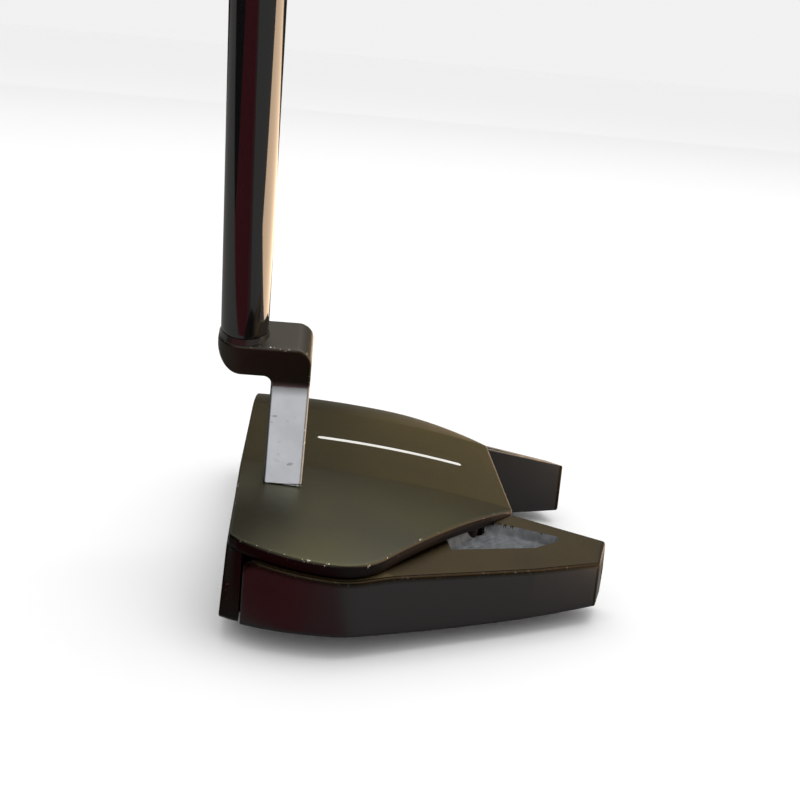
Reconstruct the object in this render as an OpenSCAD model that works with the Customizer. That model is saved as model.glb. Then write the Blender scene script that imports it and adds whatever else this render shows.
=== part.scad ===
// Mallet putter with a winged head, a slanted crank neck, a tapered steel shaft and a flat-front grip.
// Frame: origin in the middle of the sole's flat land, +X to the heel, -Y to the target, +Z up.

/* [Head] */
// Half width of the striking face
face_half_w = 49.5; // [44:0.5:54]
// Half width of the top plate at its shoulders
shoulder_half_w = 54.6; // [50:0.2:60]
// Distance from the leading edge to the widest point
shoulder_y = 20.5; // [16:0.5:26]
// Distance from the leading edge to the top plate's rear edge
plate_len = 57.2; // [52:0.2:62]
// Half width of the top plate's rear edge
plate_rear_half_w = 22; // [18:0.5:26]
// Radius of the top plate's shoulders
shoulder_r = 13.4; // [10:0.2:16]
// Height of the head at the middle of the face
face_h = 25.1; // [22:0.1:28]
// Loft of the face in degrees
loft = 3; // [0:0.5:5]
// Radius of the crown from front to back
crown_r = 241.5; // [180:0.5:400]
// Half width of the crown's middle strip
strip_half_w = 21.5; // [16:0.5:24]
// Angle of the crease beside the middle strip, in degrees
crease_angle = 4; // [1:0.5:8]
// Radius of the crown's side facets
facet_r = 127; // [90:1:250]
// Distance from the leading edge to the crown's highest point
crown_y = 1.5; // [0:0.5:6]
// Thickness of the top plate
plate_t = 2.3; // [1.6:0.1:3]
// Width of the sight line
line_w = 1.7; // [1:0.1:3]
// Distance from the leading edge to the sight line's front end
line_y = 17.5; // [14:0.5:20]
// Length of the sight line between its end circles
line_len = 30.3; // [20:0.1:34]

/* [Face] */
// Thickness of the face wall behind the insert pocket's mouth
face_wall_t = 8; // [7:0.2:10]
// Thickness of the end flanges of the face
flange_t = 3.9; // [3:0.1:5]
// Width of the end flanges
flange_w = 4.4; // [3:0.1:7]
// Length of the insert
insert_len = 74; // [60:1:80]
// Height of the insert
insert_h = 15.4; // [12:0.2:17]
// Depth of the insert
insert_t = 5; // [3:0.2:6]
// Height of the insert's middle, along the face
insert_z = 12.4; // [11.5:0.1:13.5]
// Margin above and below the insert's bars
bar_margin = 1.2; // [0.8:0.1:2]
// Number of bars in the insert
bar_count = 10; // [6:1:12]
// Height of a bar
bar_h = 0.7; // [0.5:0.05:0.8]
// Depth of a bar
bar_t = 1.4; // [0.8:0.1:2]

/* [Wings] */
// Distance from the leading edge to the wing tips
wing_len = 76.6; // [70:0.2:86]
// Distance that the outer corner of a wing's tip lies ahead of its inner corner
tip_rake = 2.4; // [0:0.1:4]
// Half width of the gap between the wing tips
gap_tip_half_w = 24.6; // [22:0.2:27]
// Distance that the wings stand proud of the top plate
wing_proud = 0.8; // [0.2:0.1:1.5]
// Angle that the wing's outer side turns in by, in degrees
wing_taper = 23; // [18:0.5:27]
// Height of the wing's top plane at the origin line
wing_top_z = 31.8; // [30.5:0.1:32.5]
// Outward slope of the wing's top, in degrees
wing_slope_out = 13; // [11:0.5:15]
// Rearward slope of the wing's top, in degrees
wing_slope_back = 9; // [8:0.1:10]
// Depth of the cast pocket in the wing's top
pocket_depth = 1.8; // [1:0.1:3]
// Seam between the wings and the top plate
seam = 0.2; // [0.1:0.05:0.4]

/* [Sole] */
// Radius of the sole from heel to toe
sole_r_x = 380; // [300:5:600]
// Radius of the sole from front to back
sole_r_y = 600; // [400:10:900]
// Depth that the flat land is cut into the sole's curve
land_cut = 0.35; // [0.2:0.05:0.6]
// Distance from the leading edge to the sole's lowest point
land_y = 25; // [22:0.5:30]
// Thickness of the sole plate
sole_t = 3.2; // [3:0.1:3.6]

/* [Weights] */
// Distance of the weight ports from the centre line
weight_x = 40; // [38:0.5:41]
// Distance of the weight ports from the leading edge
weight_y = 20.5; // [19:0.5:22]
// Radius of a weight's head
weight_r = 8; // [6:0.1:8.6]
// Thickness of a weight's head
weight_head_t = 4.4; // [3:0.1:5.5]
// Depth of the weight's head inside its port
weight_sunk = 0.5; // [0.2:0.1:1]
// Outer radius of the weight's thread
thread_r = 4; // [3:0.1:4.5]
// Length of the weight's thread
thread_len = 6.5; // [5:0.1:7.5]
// Radial clearance of the weight in its port
weight_clear = 0.08; // [0.05:0.01:0.1]
// Thickness of the seal ring under the weight's head
ring_t = 0.9; // [0.6:0.1:1.2]

/* [Neck] */
// Lie angle of the shaft in degrees
lie = 70; // [66:0.5:74]
// Distance of the shaft from the centre line, at the top of the crank
crank_x = 20; // [16:0.5:23]
// Distance of the shaft's axis from the leading edge
crank_y = 0.5; // [-2:0.25:3]
// Height of the crank's top at the shaft's axis
crank_z = 52.2; // [48:0.2:58]
// Half width of the crank across the shaft
crank_half_w = 5.35; // [5.1:0.05:6.5]
// Depth of the crank's underside below the shaft's tip, along the shaft
crank_t = 7.9; // [6:0.1:9]
// Height of the bead around the shaft's tip
bead_h = 1.2; // [0.6:0.1:1.6]
// Front of the post, behind the leading edge
post_front = 6.3; // [5.5:0.1:7]
// Depth of the post from front to back
post_depth = 7.5; // [6:0.1:8.5]
// Thickness of the post from heel to toe
post_t = 7.2; // [5.5:0.1:8]
// Distance of the post's heel edge from the centre line, at the foot
foot_x = 31.8; // [30:0.2:33]
// Depth of the foot's recess in the top plate
foot_recess = 0.6; // [0.3:0.1:1]

/* [Shaft and grip] */
// Length of the club along the shaft, from the ground to the grip's end
club_len = 864; // [813:1:914]
// Radius of the shaft at its tip
tip_r = 4.7; // [4.5:0.05:5]
// Growth of the shaft's radius for each millimetre of length
shaft_taper = 0.003; // [0.002:0.0005:0.004]
// Wall of the shaft
shaft_wall = 0.95; // [0.7:0.05:1.1]
// Length of the spud inside the shaft
spud_len = 22; // [15:1:30]
// Length of the grip
grip_len = 267; // [240:1:300]
// Radius of the grip at its lower end
grip_r_low = 10.4; // [10:0.1:12]
// Radius of the grip at its upper end
grip_r_top = 14; // [13:0.1:16]
// Thickness of the grip's outer skin
skin_t = 1.5; // [1:0.1:2]
// Thickness of the tape under the grip
tape_t = 0.4; // [0.3:0.05:0.6]
// Film of glue between the grip's layers
film = 0.05; // [0.03:0.01:0.1]
// Thickness of the grip's end cap
cap_t = 4; // [3:0.5:6]
// Radius of the vent hole in the end cap
vent_r = 2; // [1.5:0.1:2.5]

/* [Hidden] */
$fn = 48;
eps = 0.01;
big = 300;
fit = 0.15;            // gap between bonded or bolted pieces
arc_steps = 14;        // straight pieces in each arc of an outline

// plan of the head
front_r = (pow(shoulder_half_w - face_half_w, 2) + pow(shoulder_y - crown_y, 2))
        / (2 * (shoulder_half_w - face_half_w));
shoulder_c = [shoulder_half_w - shoulder_r, shoulder_y];
front_c = [shoulder_half_w - front_r, shoulder_y];
// angle of the top plate's straight side: the tangent from the rear corner to the shoulder's circle
corner_d = [plate_rear_half_w, plate_len] - shoulder_c;
side_angle = atan2(corner_d[1], corner_d[0]) - acos(shoulder_r / norm(corner_d));
corner_clip = 0.3;     // clip at the top plate's rear corners
wing_r = shoulder_r + wing_proud;
wing_turn = shoulder_c + wing_r * [cos(wing_taper), sin(wing_taper)];
tip_y = wing_len - tip_rake;
wing_tip_x = wing_turn[0] - (tip_y - wing_turn[1]) * tan(wing_taper);
ridge_len = shoulder_y + shoulder_r;      // length of the ridge that follows the plate's edge
gap_front_half_w = plate_rear_half_w + 0.3;
flange_x = face_half_w - flange_w;
wall_y = face_wall_t;

// neck
slant = 90 - lie;
axis_up = [cos(lie), 0, sin(lie)];
axis_side = [sin(lie), 0, -cos(lie)];
crank_base = [crank_x, crank_y, crank_z];
post_top = crank_base + crank_half_w * axis_side - (crank_t + 2) * axis_up;
foot_z = face_h - side_drop(foot_x) - foot_recess - 0.2;
post_dx = foot_x - post_top[0];
post_dz = post_top[2] - foot_z;
post_lean = atan2(post_dx, post_dz);
post_wide = post_t / cos(post_lean);
post_mid_y = post_front + post_depth / 2;
tenon_z = 13.4;        // underside of the post's tenon
boss_z = 9.4;          // underside of the boss that carries the tenon
neck_screw_r = 1.75;
neck_screw_x = [foot_x - post_wide / 2 - 3.6, foot_x - post_wide / 2 + 3.2];

// shaft and grip, along the shaft's axis from the crank's top
butt_z = club_len - crank_z / sin(lie);
shaft_len = butt_z - cap_t;
grip_z = butt_z - grip_len;
spud_r = tip_r - shaft_wall - 0.25;
nose_r = tip_r + 0.4;  // reach of the crank's front ahead of the shaft's axis
grip_flat_low = 0.78 * grip_r_low;
grip_flat_top = 0.8 * grip_r_top;

// screws
wing_screw_at = [[28.9, 47.5], [40, 34]];
wing_screw_r = 2;
wing_boss_r = 2.9;
wing_recess_r = 4.2;
wing_boss_len = 5;
sole_screw_at = [[12, 15], [17, 48]];
sole_screw_r = 1.5;
sole_boss_r = 3;
// half width of the sole plate at its front and at its rear
sole_half_w = [26, 20];
wing_inner = [
    [gap_tip_half_w, wing_len], [gap_front_half_w, plate_len], [23.2, 48],
    [26.6, 30], [27.5, 17.2], [37, 15.2], [37, wall_y + seam],
    [flange_x + 1, wall_y + seam], [flange_x + 1, flange_t + 0.4]
];

// plan of the cast pocket in a wing's top
pocket_plan = [[26.4, 51], [26.6, 66.2], [28.2, 66.2], [32.4, 60.8], [39.2, 43.2], [36, 42.6]];

function arc(c, r, from, to) =
    [for (i = [0 : arc_steps]) c + r * [cos(from + (to - from) * i / arc_steps),
                                        sin(from + (to - from) * i / arc_steps)]];
function mirrored(points) = [for (i = [len(points) - 1 : -1 : 0]) [-points[i][0], points[i][1]]];
// fall of the crown beside its middle strip
function side_drop(x) = x <= strip_half_w ? 0
    : (x - strip_half_w) * tan(crease_angle) + pow(x - strip_half_w, 2) / (2 * facet_r);
function front_angle(r) = asin(-shoulder_y / r);
// height of the crown's underside over a point of the plan
function boss_top(p) = face_h - plate_t - side_drop(p[0]) - pow(p[1] - crown_y, 2) / (2 * crown_r);
// height of the sole over a point of the plan
function sole_z(p) =
    max(0, pow(p[0], 2) / (2 * sole_r_x) + pow(p[1] - land_y, 2) / (2 * sole_r_y) - land_cut);
function shaft_r(z) = tip_r + shaft_taper * z;
function grip_radius(z) = grip_r_low + (grip_r_top - grip_r_low) * (z - grip_z) / grip_len;
// height of the seat for a weight's head
weight_seat_z = sole_z([weight_x, weight_y]) + weight_sunk + weight_head_t;

// The head is drawn from its leading edge; the frame's origin is under the sole's lowest point.
module in_head() { translate([0, -land_y, 0]) children(); }
module in_face() { rotate([-loft, 0, 0]) children(); }
module on_shaft() { in_head() translate(crank_base) rotate([0, slant, 0]) children(); }
module both_sides() { children(); mirror([1, 0, 0]) children(); }
module at_side(side) { mirror([side < 0 ? 1 : 0, 0, 0]) children(); }

// Solid below the crown: a wide wheel turned about a heel-to-toe axis, its rim curved down at both sides.
module under_crown(drop) {
    translate([0, crown_y, face_h - crown_r - drop]) rotate([0, 90, 0]) rotate_extrude($fn = 256) {
        translate([0, -strip_half_w]) square([crown_r, 2 * strip_half_w]);
        rim_side();
        mirror([0, 1]) rim_side();
    }
}
module rim_side() {
    intersection() {
        translate([crown_r - facet_r * cos(crease_angle), strip_half_w - facet_r * sin(crease_angle)])
            circle(r = facet_r, $fn = 256);
        translate([crown_r - facet_r, strip_half_w - eps]) square([facet_r, 48]);
    }
}

// Solid above the sole: a wheel with a crowned rim, cut flat where it would reach below the ground.
module above_sole(lift) {
    intersection() {
        translate([0, land_y, sole_r_y - land_cut + lift]) rotate([0, 90, 0]) rotate_extrude($fn = 256)
            intersection() {
                translate([sole_r_y - 60, -70]) square([60, 140]);
                translate([sole_r_y - sole_r_x, 0]) circle(r = sole_r_x, $fn = 256);
            }
        translate([-100, -20, lift]) cube([200, 120, 60]);
    }
}

// Everything below the sloping top of a heel-side wing.
module under_wing_top(drop) {
    translate([0, 0, wing_top_z - drop])
        rotate([-atan(tan(wing_slope_back) * cos(wing_slope_out)), wing_slope_out, 0])
            translate([-big, -big, -2 * big]) cube([2 * big, 2 * big, 2 * big]);
}

// Everything behind the lofted face, with its lower edge rounded.
module behind_face(edge_r = 2) {
    rotate([90, 0, 90]) translate([0, 0, -80]) linear_extrude(160)
        polygon(concat(
            arc([edge_r / cos(loft) + edge_r * tan(loft), edge_r], edge_r, 270, 180 - loft),
            [[tan(loft) * 40, 40], [100, 40], [100, 0]]));
}

// Outline of the top plate, grown outwards all round.
module plate_plan(grow = 0) {
    side_dir = [cos(side_angle), sin(side_angle)];
    corner_x = plate_rear_half_w + grow * (1 - side_dir[1]) / side_dir[0];
    half = concat(
        arc(front_c, front_r + grow, front_angle(front_r), 0),
        arc(shoulder_c, shoulder_r + grow, 2, side_angle),
        [[corner_x + corner_clip * side_dir[1], plate_len + grow - corner_clip * side_dir[0]],
         [corner_x - corner_clip, plate_len + grow]]);
    polygon(concat(half, mirrored(half)));
}

module wing_plan() {
    r = front_r + wing_proud;
    polygon(concat(
        arc(front_c, r, asin((flange_t + 0.4 - shoulder_y) / r), 0),
        arc(shoulder_c, wing_r, 2, wing_taper),
        [[wing_tip_x + 0.3, tip_y - 0.7], [wing_tip_x - 0.7, tip_y + 0.2]],
        wing_inner));
}
// Room for the top plate above a wing: the plate itself, and the front part of the wing's outer ridge.
module plate_room() {
    difference() {
        linear_extrude(60) {
            plate_plan(seam);
            translate([-80, -10]) square([160, ridge_len + 10]);
        }
        under_crown(plate_t + seam);
    }
}

module sight_slot(drop_top, drop_low) {
    difference() {
        intersection() {
            union() {
                translate([-line_w / 2, line_y, 0]) cube([line_w, line_len, 40]);
                translate([0, line_y, 0]) cylinder(r = line_w / 2, h = 40);
                translate([0, line_y + line_len, 0]) cylinder(r = line_w / 2, h = 40);
            }
            under_crown(drop_top);
        }
        under_crown(drop_low);
    }
}

// Rounded slab in the face frame: long, high and deep as given, its front at depth y.
module face_slab(len, high, y, deep) {
    r = high / 2;
    in_face() translate([0, y + deep, insert_z]) rotate([90, 0, 0]) linear_extrude(deep) union() {
        square([len - high, high], center = true);
        translate([-(len - high) / 2, 0]) circle(r = r);
        translate([(len - high) / 2, 0]) circle(r = r);
    }
}

module insert_bar(i) {
    pitch = (insert_h - 2 * bar_margin) / bar_count;
    z = insert_z + (i - (bar_count - 1) / 2) * pitch;
    long = insert_len - insert_h - 4;
    in_face() translate([-long / 2, 0, z - bar_h / 2]) cube([long, bar_t, bar_h]);
}

module tenon(grow) {
    translate([neck_screw_x[0] - 3.2 - grow, post_front - grow, tenon_z - grow])
        cube([neck_screw_x[1] - neck_screw_x[0] + 6.4 + 2 * grow, post_depth + 2 * grow, 30]);
}

module head_body() {
    color("#34352f") in_head() difference() {
        intersection() {
            union() {
                difference() {
                    intersection() {
                        linear_extrude(40) plate_plan();
                        under_crown(0);
                    }
                    under_crown(plate_t);
                }
                intersection() {
                    union() {
                        translate([-flange_x, -1, 0]) cube([2 * flange_x, wall_y + 1, 40]);
                        intersection() {
                            linear_extrude(40) plate_plan();
                            translate([-80, -1, 0]) cube([160, flange_t + 1, 40]);
                        }
                        translate([neck_screw_x[0] - 4.8, 1, boss_z])
                            cube([neck_screw_x[1] - neck_screw_x[0] + 9, post_front + post_depth + 0.4, 30]);
                        both_sides() for (p = wing_screw_at)
                            translate([p[0], p[1], boss_top(p) - wing_boss_len])
                                cylinder(r = wing_boss_r, h = wing_boss_len + 5);
                        both_sides() for (p = sole_screw_at)
                            translate([p[0], p[1], sole_t + 0.8]) cylinder(r = sole_boss_r, h = 25);
                    }
                    under_crown(eps);
                }
            }
            above_sole(0);
            behind_face();
        }
        face_slab(insert_len + 2 * fit, insert_h + 2 * fit, -1, insert_t + 1.4);
        sight_slot(-2, 0.6);
        // recess and well for the neck
        tenon(fit);
        for (x = neck_screw_x) {
            translate([x, post_mid_y, boss_z - 1]) cylinder(r = neck_screw_r + 0.1, h = 10);
            translate([x, post_mid_y, boss_z - 1]) cylinder(r = 3.1, h = 2.6);
        }
        both_sides() for (p = wing_screw_at)
            translate([p[0], p[1], boss_top(p) - wing_boss_len - 1]) cylinder(r = wing_screw_r, h = 5.4);
        both_sides() for (p = sole_screw_at)
            translate([p[0], p[1], 0]) cylinder(r = sole_screw_r, h = 12);
    }
}

module wing(side) {
    in_head() at_side(side) difference() {
        intersection() {
            linear_extrude(40) wing_plan();
            under_wing_top(0);
            above_sole(0);
        }
        plate_room();
        wing_pocket();
        for (p = wing_screw_at) translate([p[0], p[1], 0]) {
            translate([0, 0, boss_top(p) - wing_boss_len - 0.3]) cylinder(r = wing_recess_r, h = 20);
            translate([0, 0, -1]) cylinder(r = wing_screw_r + 0.2, h = 30);
            translate([0, 0, -1]) cylinder(r = 3.8, h = sole_z(p) + 3.4);
        }
        translate([weight_x, weight_y, 0]) {
            translate([0, 0, -1]) cylinder(r = weight_r + weight_clear, h = weight_seat_z + 1 + ring_t);
            cylinder(r = thread_r + weight_clear, h = weight_seat_z + thread_len + 1.2);
        }
        // tool relief behind the weight port
        translate([weight_x, weight_y, 15.4]) cylinder(r = 6.4, h = 20);
    }
}

// The cast pocket runs out from under the plate's edge; its rear end is a slanting wall.
module wing_pocket() {
    difference() {
        translate([0, 0, 5]) linear_extrude(30)
            polygon(pocket_plan);
        under_wing_top(pocket_depth);
    }
}

module heel_wing() { color("#2c2b2a") wing(1); }
module toe_wing() { color("#2c2b2a") wing(-1); }

module sole_plan(inset) {
    front = wall_y + seam + inset;
    rear = plate_len - 1.4 - inset;
    half = [[sole_half_w[0] - inset, front], [sole_half_w[0] - inset, 26], [sole_half_w[1] + 1.6 - inset, 49],
        [sole_half_w[1] + 1.2 - inset, rear - 1.5], [sole_half_w[1] - inset, rear]];
    polygon(concat(half, mirrored(half)));
}

module sole_plate() {
    color("#3b3c3e") in_head() difference() {
        intersection() {
            linear_extrude(40) sole_plan(0);
            above_sole(0);
            translate([-80, -20, -1]) cube([160, 120, sole_t + 1]);
        }
        both_sides() for (p = sole_screw_at) translate([p[0], p[1], 0]) {
            translate([0, 0, -1]) cylinder(r = sole_screw_r + 0.2, h = 10);
            translate([0, 0, -1]) cylinder(r = 3, h = 2.3 + sole_z(p));
        }
    }
}

module core_filler() {
    color("#8f8a80") in_head() difference() {
        intersection() {
            linear_extrude(40) sole_plan(0.4);
            translate([-80, -20, sole_t + 0.2]) cube([160, 120, 40]);
            under_crown(plate_t + fit);
        }
        both_sides() for (p = sole_screw_at)
            translate([p[0], p[1], 0]) cylinder(r = sole_boss_r + fit, h = 40);
        translate([neck_screw_x[0] - 5, 0, boss_z - 1.2]) cube([60, 17, 40]);
    }
}

module face_insert() {
    color("#1f2022") in_head() difference() {
        face_slab(insert_len, insert_h, 0, insert_t);
        for (i = [0 : bar_count - 1]) insert_bar(i);
    }
}
module insert_bars() { color("#c3c6c9") in_head() for (i = [0 : bar_count - 1]) insert_bar(i); }
module insert_tape() { color("#d8d2bd") in_head() face_slab(insert_len - 3, insert_h - 3, insert_t, 0.3); }
module sight_line() { color("#f2f2ee") in_head() sight_slot(0.05, 0.6); }

// Countersunk screw pointing up, its head's underside at height z.
module up_screw(p, z, r, head_r, len) {
    translate([p[0], p[1], z]) difference() {
        union() {
            cylinder(r = r - fit, h = len);
            translate([0, 0, -2]) cylinder(r = head_r, h = 2);
        }
        translate([0, 0, -2.9]) cylinder(r = 1.3, h = 2, $fn = 6);
    }
}
module wing_screws(side) {
    in_head() at_side(side) for (p = wing_screw_at)
        up_screw(p, sole_z(p) + 2.4, wing_screw_r, 3.6, boss_top(p) - sole_z(p) - 3.6);
}
module heel_wing_screws() { color("#55585c") wing_screws(1); }
module toe_wing_screws() { color("#55585c") wing_screws(-1); }
module sole_screws() {
    color("#55585c") in_head() both_sides() for (p = sole_screw_at)
        up_screw(p, sole_z(p) + 1.3, sole_screw_r, 2.8, 9);
}

// Screw-in weight: a domed disc with a hexagon socket and a threaded shank.
module weight(side) {
    in_head() at_side(side) translate([weight_x, weight_y, weight_seat_z]) difference() {
        union() {
            translate([0, 0, -weight_head_t]) cylinder(r = weight_r, h = weight_head_t);
            cylinder(r = thread_r, h = thread_len + ring_t);
        }
        translate([0, 0, -weight_head_t - 1]) cylinder(r = 2.9, h = 4, $fn = 6);
        translate([0, 0, -weight_head_t - 1])
            difference() { cylinder(r = weight_r - 1.6, h = 1.5); cylinder(r = 4.4, h = 2); }
    }
}
module weight_ring(side) {
    in_head() at_side(side) translate([weight_x, weight_y, weight_seat_z + ring_t / 2])
        rotate_extrude() translate([thread_r + 0.05 + ring_t / 2, 0]) circle(r = ring_t / 2 - 0.02, $fn = 24);
}
module heel_weight() { color("#8d9196") weight(1); }
module toe_weight() { color("#8d9196") weight(-1); }
module heel_weight_ring() { color("#17181a") weight_ring(1); }
module toe_weight_ring() { color("#17181a") weight_ring(-1); }

// Crank: a block along the line of play, round at the shaft, seen from the side with rounded corners.
module crank() {
    reach = post_front + post_depth - crank_y + 0.3;
    edge = 0.7;
    intersection() {
        rotate([90, 0, 90]) translate([0, 0, -20]) linear_extrude(40)
            polygon(concat(
                arc([4.8 - nose_r, 4.8 - crank_t], 4.8, 180, 270),
                [[reach, -crank_t]],
                arc([reach - 4, -bead_h - 4], 4, 0, 90),
                [[-nose_r, -bead_h]]));
        union() {
            translate([0, 0, -20]) cylinder(r = crank_half_w, h = 40);
            translate([-crank_half_w, 0, -20]) cube([2 * crank_half_w, 30, 40]);
        }
        rotate([90, 0, 0]) translate([0, 0, -40]) linear_extrude(80)
            polygon([[edge - crank_half_w, -bead_h], [-crank_half_w, -bead_h - edge], [-crank_half_w, -20],
                     [crank_half_w, -20], [crank_half_w, -bead_h - edge], [crank_half_w - edge, -bead_h]]);
    }
}

module hosel() {
    // the post runs on into the crank, a little narrower than it
    inside = crank_base - (crank_t - 3) * axis_up;
    inside_half_w = crank_half_w - 1;
    color("#4b4b4e") {
        on_shaft() {
            crank();
            translate([0, 0, -bead_h - 1]) cylinder(r = spud_r, h = spud_len + bead_h + 1);
        }
        in_head() difference() {
            union() {
                translate([0, post_front + post_depth, 0]) rotate([90, 0, 0]) linear_extrude(post_depth)
                    polygon([
                        [foot_x, foot_z], [post_top[0], post_top[2]],
                        [inside[0] + inside_half_w * axis_side[0], inside[2] + inside_half_w * axis_side[2]],
                        [inside[0] - inside_half_w * axis_side[0], inside[2] - inside_half_w * axis_side[2]],
                        [post_top[0] - 2 * (crank_half_w - 0.5) * axis_side[0] + 1.4, post_top[2] + 1],
                        [foot_x - post_wide, foot_z]]);
                intersection() {
                    tenon(0);
                    cube([80, 80, foot_z + eps]);
                }
            }
            for (x = neck_screw_x) translate([x, post_mid_y, 0]) cylinder(r = neck_screw_r, h = foot_z - 1);
        }
    }
}

module hosel_screws() {
    color("#6b6e72") in_head() for (x = neck_screw_x)
        up_screw([x, post_mid_y], boss_z + 1.6, neck_screw_r, 2.9, foot_z - boss_z - 3.4);
}

module shaft_epoxy() {
    color("#3a3431") on_shaft() {
        // bead between the crank and the shaft's tip, and the film around the spud
        difference() {
            union() {
                translate([0, 0, -bead_h]) cylinder(r1 = nose_r - 0.1, r2 = tip_r, h = bead_h);
                cylinder(r = spud_r + 0.25, h = spud_len);
            }
            translate([0, 0, -bead_h - 1]) cylinder(r = spud_r, h = spud_len + 9);
        }
    }
}

module shaft() {
    top_r = tip_r + shaft_taper * shaft_len;
    color("#151416") on_shaft() difference() {
        cylinder(r1 = tip_r, r2 = top_r, h = shaft_len);
        translate([0, 0, -eps])
            cylinder(r1 = tip_r - shaft_wall, r2 = top_r - shaft_wall, h = shaft_len + 2 * eps);
    }
}

// Cone around the shaft under the grip, standing off its surface by a given distance.
module shaft_sleeve(off, from, to) {
    translate([0, 0, from]) cylinder(r1 = shaft_r(from) + off, r2 = shaft_r(to) + off, h = to - from);
}

module grip_tape() {
    color("#c9c2a8") on_shaft() difference() {
        shaft_sleeve(film + tape_t, grip_z + 1 + film, shaft_len);
        shaft_sleeve(film, grip_z, shaft_len + 1);
    }
}

// Outside of the grip drawn in by a given thickness: a cone with a flat on its upper side.
module grip_form(inset, from, to) {
    slope = atan2(grip_flat_top - grip_flat_low, grip_len);
    intersection() {
        translate([0, 0, from]) cylinder(
            r1 = grip_radius(from) - inset, r2 = grip_radius(to) - inset, h = to - from);
        translate([-grip_flat_low + inset, 0, grip_z]) rotate([0, -slope, 0])
            translate([0, -50, -50]) cube([100, 100, grip_len + 100]);
    }
}
module grip_core() {
    color("#2b2c2f") on_shaft() difference() {
        grip_form(skin_t + film, grip_z + 1 + film, shaft_len);
        shaft_sleeve(2 * film + tape_t, grip_z, shaft_len + 1);
    }
}

module grip_skin() {
    color("#1b1c1e") on_shaft() difference() {
        grip_form(0, grip_z, butt_z - 1.2);
        grip_form(skin_t, grip_z + 1, butt_z + 2);
        shaft_sleeve(film + tape_t, grip_z - 1, grip_z + 4);
    }
}

module grip_cap() {
    color("#232427") on_shaft() difference() {
        union() {
            grip_form(skin_t + film, shaft_len, butt_z - 1);
            grip_form(0, butt_z - 1.2, butt_z);
        }
        translate([0, 0, shaft_len - 1]) cylinder(r = vent_r, h = cap_t + 2);
    }
}

head_body();
heel_wing();
toe_wing();
sole_plate();
core_filler();
face_insert();
insert_bars();
insert_tape();
sight_line();
heel_wing_screws();
toe_wing_screws();
sole_screws();
heel_weight();
toe_weight();
heel_weight_ring();
toe_weight_ring();
hosel();
hosel_screws();
shaft_epoxy();
shaft();
grip_tape();
grip_core();
grip_skin();
grip_cap();
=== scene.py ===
import math

import bmesh
import bpy
import numpy as np
from mathutils import Matrix, Vector


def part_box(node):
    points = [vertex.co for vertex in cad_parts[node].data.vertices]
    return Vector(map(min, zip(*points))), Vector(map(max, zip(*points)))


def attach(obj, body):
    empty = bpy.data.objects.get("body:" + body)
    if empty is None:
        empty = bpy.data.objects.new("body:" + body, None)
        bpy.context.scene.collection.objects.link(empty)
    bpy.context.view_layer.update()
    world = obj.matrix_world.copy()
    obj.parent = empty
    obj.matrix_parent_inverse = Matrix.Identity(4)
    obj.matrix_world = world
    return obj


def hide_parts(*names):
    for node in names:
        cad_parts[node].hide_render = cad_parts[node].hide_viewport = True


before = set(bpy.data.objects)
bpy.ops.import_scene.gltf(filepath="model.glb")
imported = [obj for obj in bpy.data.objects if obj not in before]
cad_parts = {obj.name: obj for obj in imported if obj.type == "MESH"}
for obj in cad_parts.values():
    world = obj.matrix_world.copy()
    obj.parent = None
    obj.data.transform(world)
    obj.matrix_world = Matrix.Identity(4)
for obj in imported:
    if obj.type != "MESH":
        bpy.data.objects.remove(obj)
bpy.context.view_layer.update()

# Every shape below is worked out in millimetres from the head's leading edge, then moved into the frame.
MM = 0.001
LAND_Y = 25.0                       # leading edge to the frame's origin
LOFT = math.radians(3)
TAN_LOFT = math.tan(LOFT)

# plan of the head
FACE_HALF, SHOULDER_HALF, SHOULDER_Y, SHOULDER_R = 49.5, 54.6, 20.5, 13.4
PLATE_LEN, REAR_HALF, PLATE_T, SEAM = 57.2, 22.0, 2.3, 0.2
FRONT_R = ((SHOULDER_HALF - FACE_HALF) ** 2 + (SHOULDER_Y - 1.5) ** 2) / (2 * (SHOULDER_HALF - FACE_HALF))
FRONT_CX, SHOULDER_CX = SHOULDER_HALF - FRONT_R, SHOULDER_HALF - SHOULDER_R
CORNER = np.array([REAR_HALF - SHOULDER_CX, PLATE_LEN - SHOULDER_Y])
SIDE_ANGLE = math.atan2(CORNER[1], CORNER[0]) - math.acos(SHOULDER_R / math.hypot(*CORNER))
# crown
FACE_H, CROWN_R, CROWN_Y, STRIP_HALF, CREASE, FACET_R = 25.1, 241.5, 1.5, 21.5, math.radians(4), 127.0
LINE_HALF, LINE_Y, LINE_LEN = 0.85, 17.5, 30.3
# sole: radii across and along, and the depth of the flat land
SOLE_ACROSS, SOLE_ALONG, LAND_CUT = 380.0, 600, 0.35
# face wall, its end flanges and the insert with its bars
WALL_T, FLANGE_T, FLANGE_IN, FACE_ROUND = 8.0, 3.9, 45.1, 0.35
INSERT_LEN, INSERT_H, INSERT_Z, INSERT_T, INSERT_GAP = 74, 15.4, 12.4, 5, 0.3
BAR_COUNT, BAR_H, BAR_MARGIN = 10, 0.7, 1.2
# wings
WING_LEN, TIP_RAKE, GAP_TIP, PROUD, TAPER = 76.6, 2.4, 24.6, 0.8, math.radians(23)
WING_Z, SLOPE_OUT, SLOPE_BACK = 31.8, math.tan(math.radians(13)), math.tan(math.radians(9))
RIDGE_LEN = SHOULDER_Y + SHOULDER_R
WING_R = SHOULDER_R + PROUD
TURN = np.array([SHOULDER_CX + WING_R * math.cos(TAPER), SHOULDER_Y + WING_R * math.sin(TAPER)])
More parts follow.
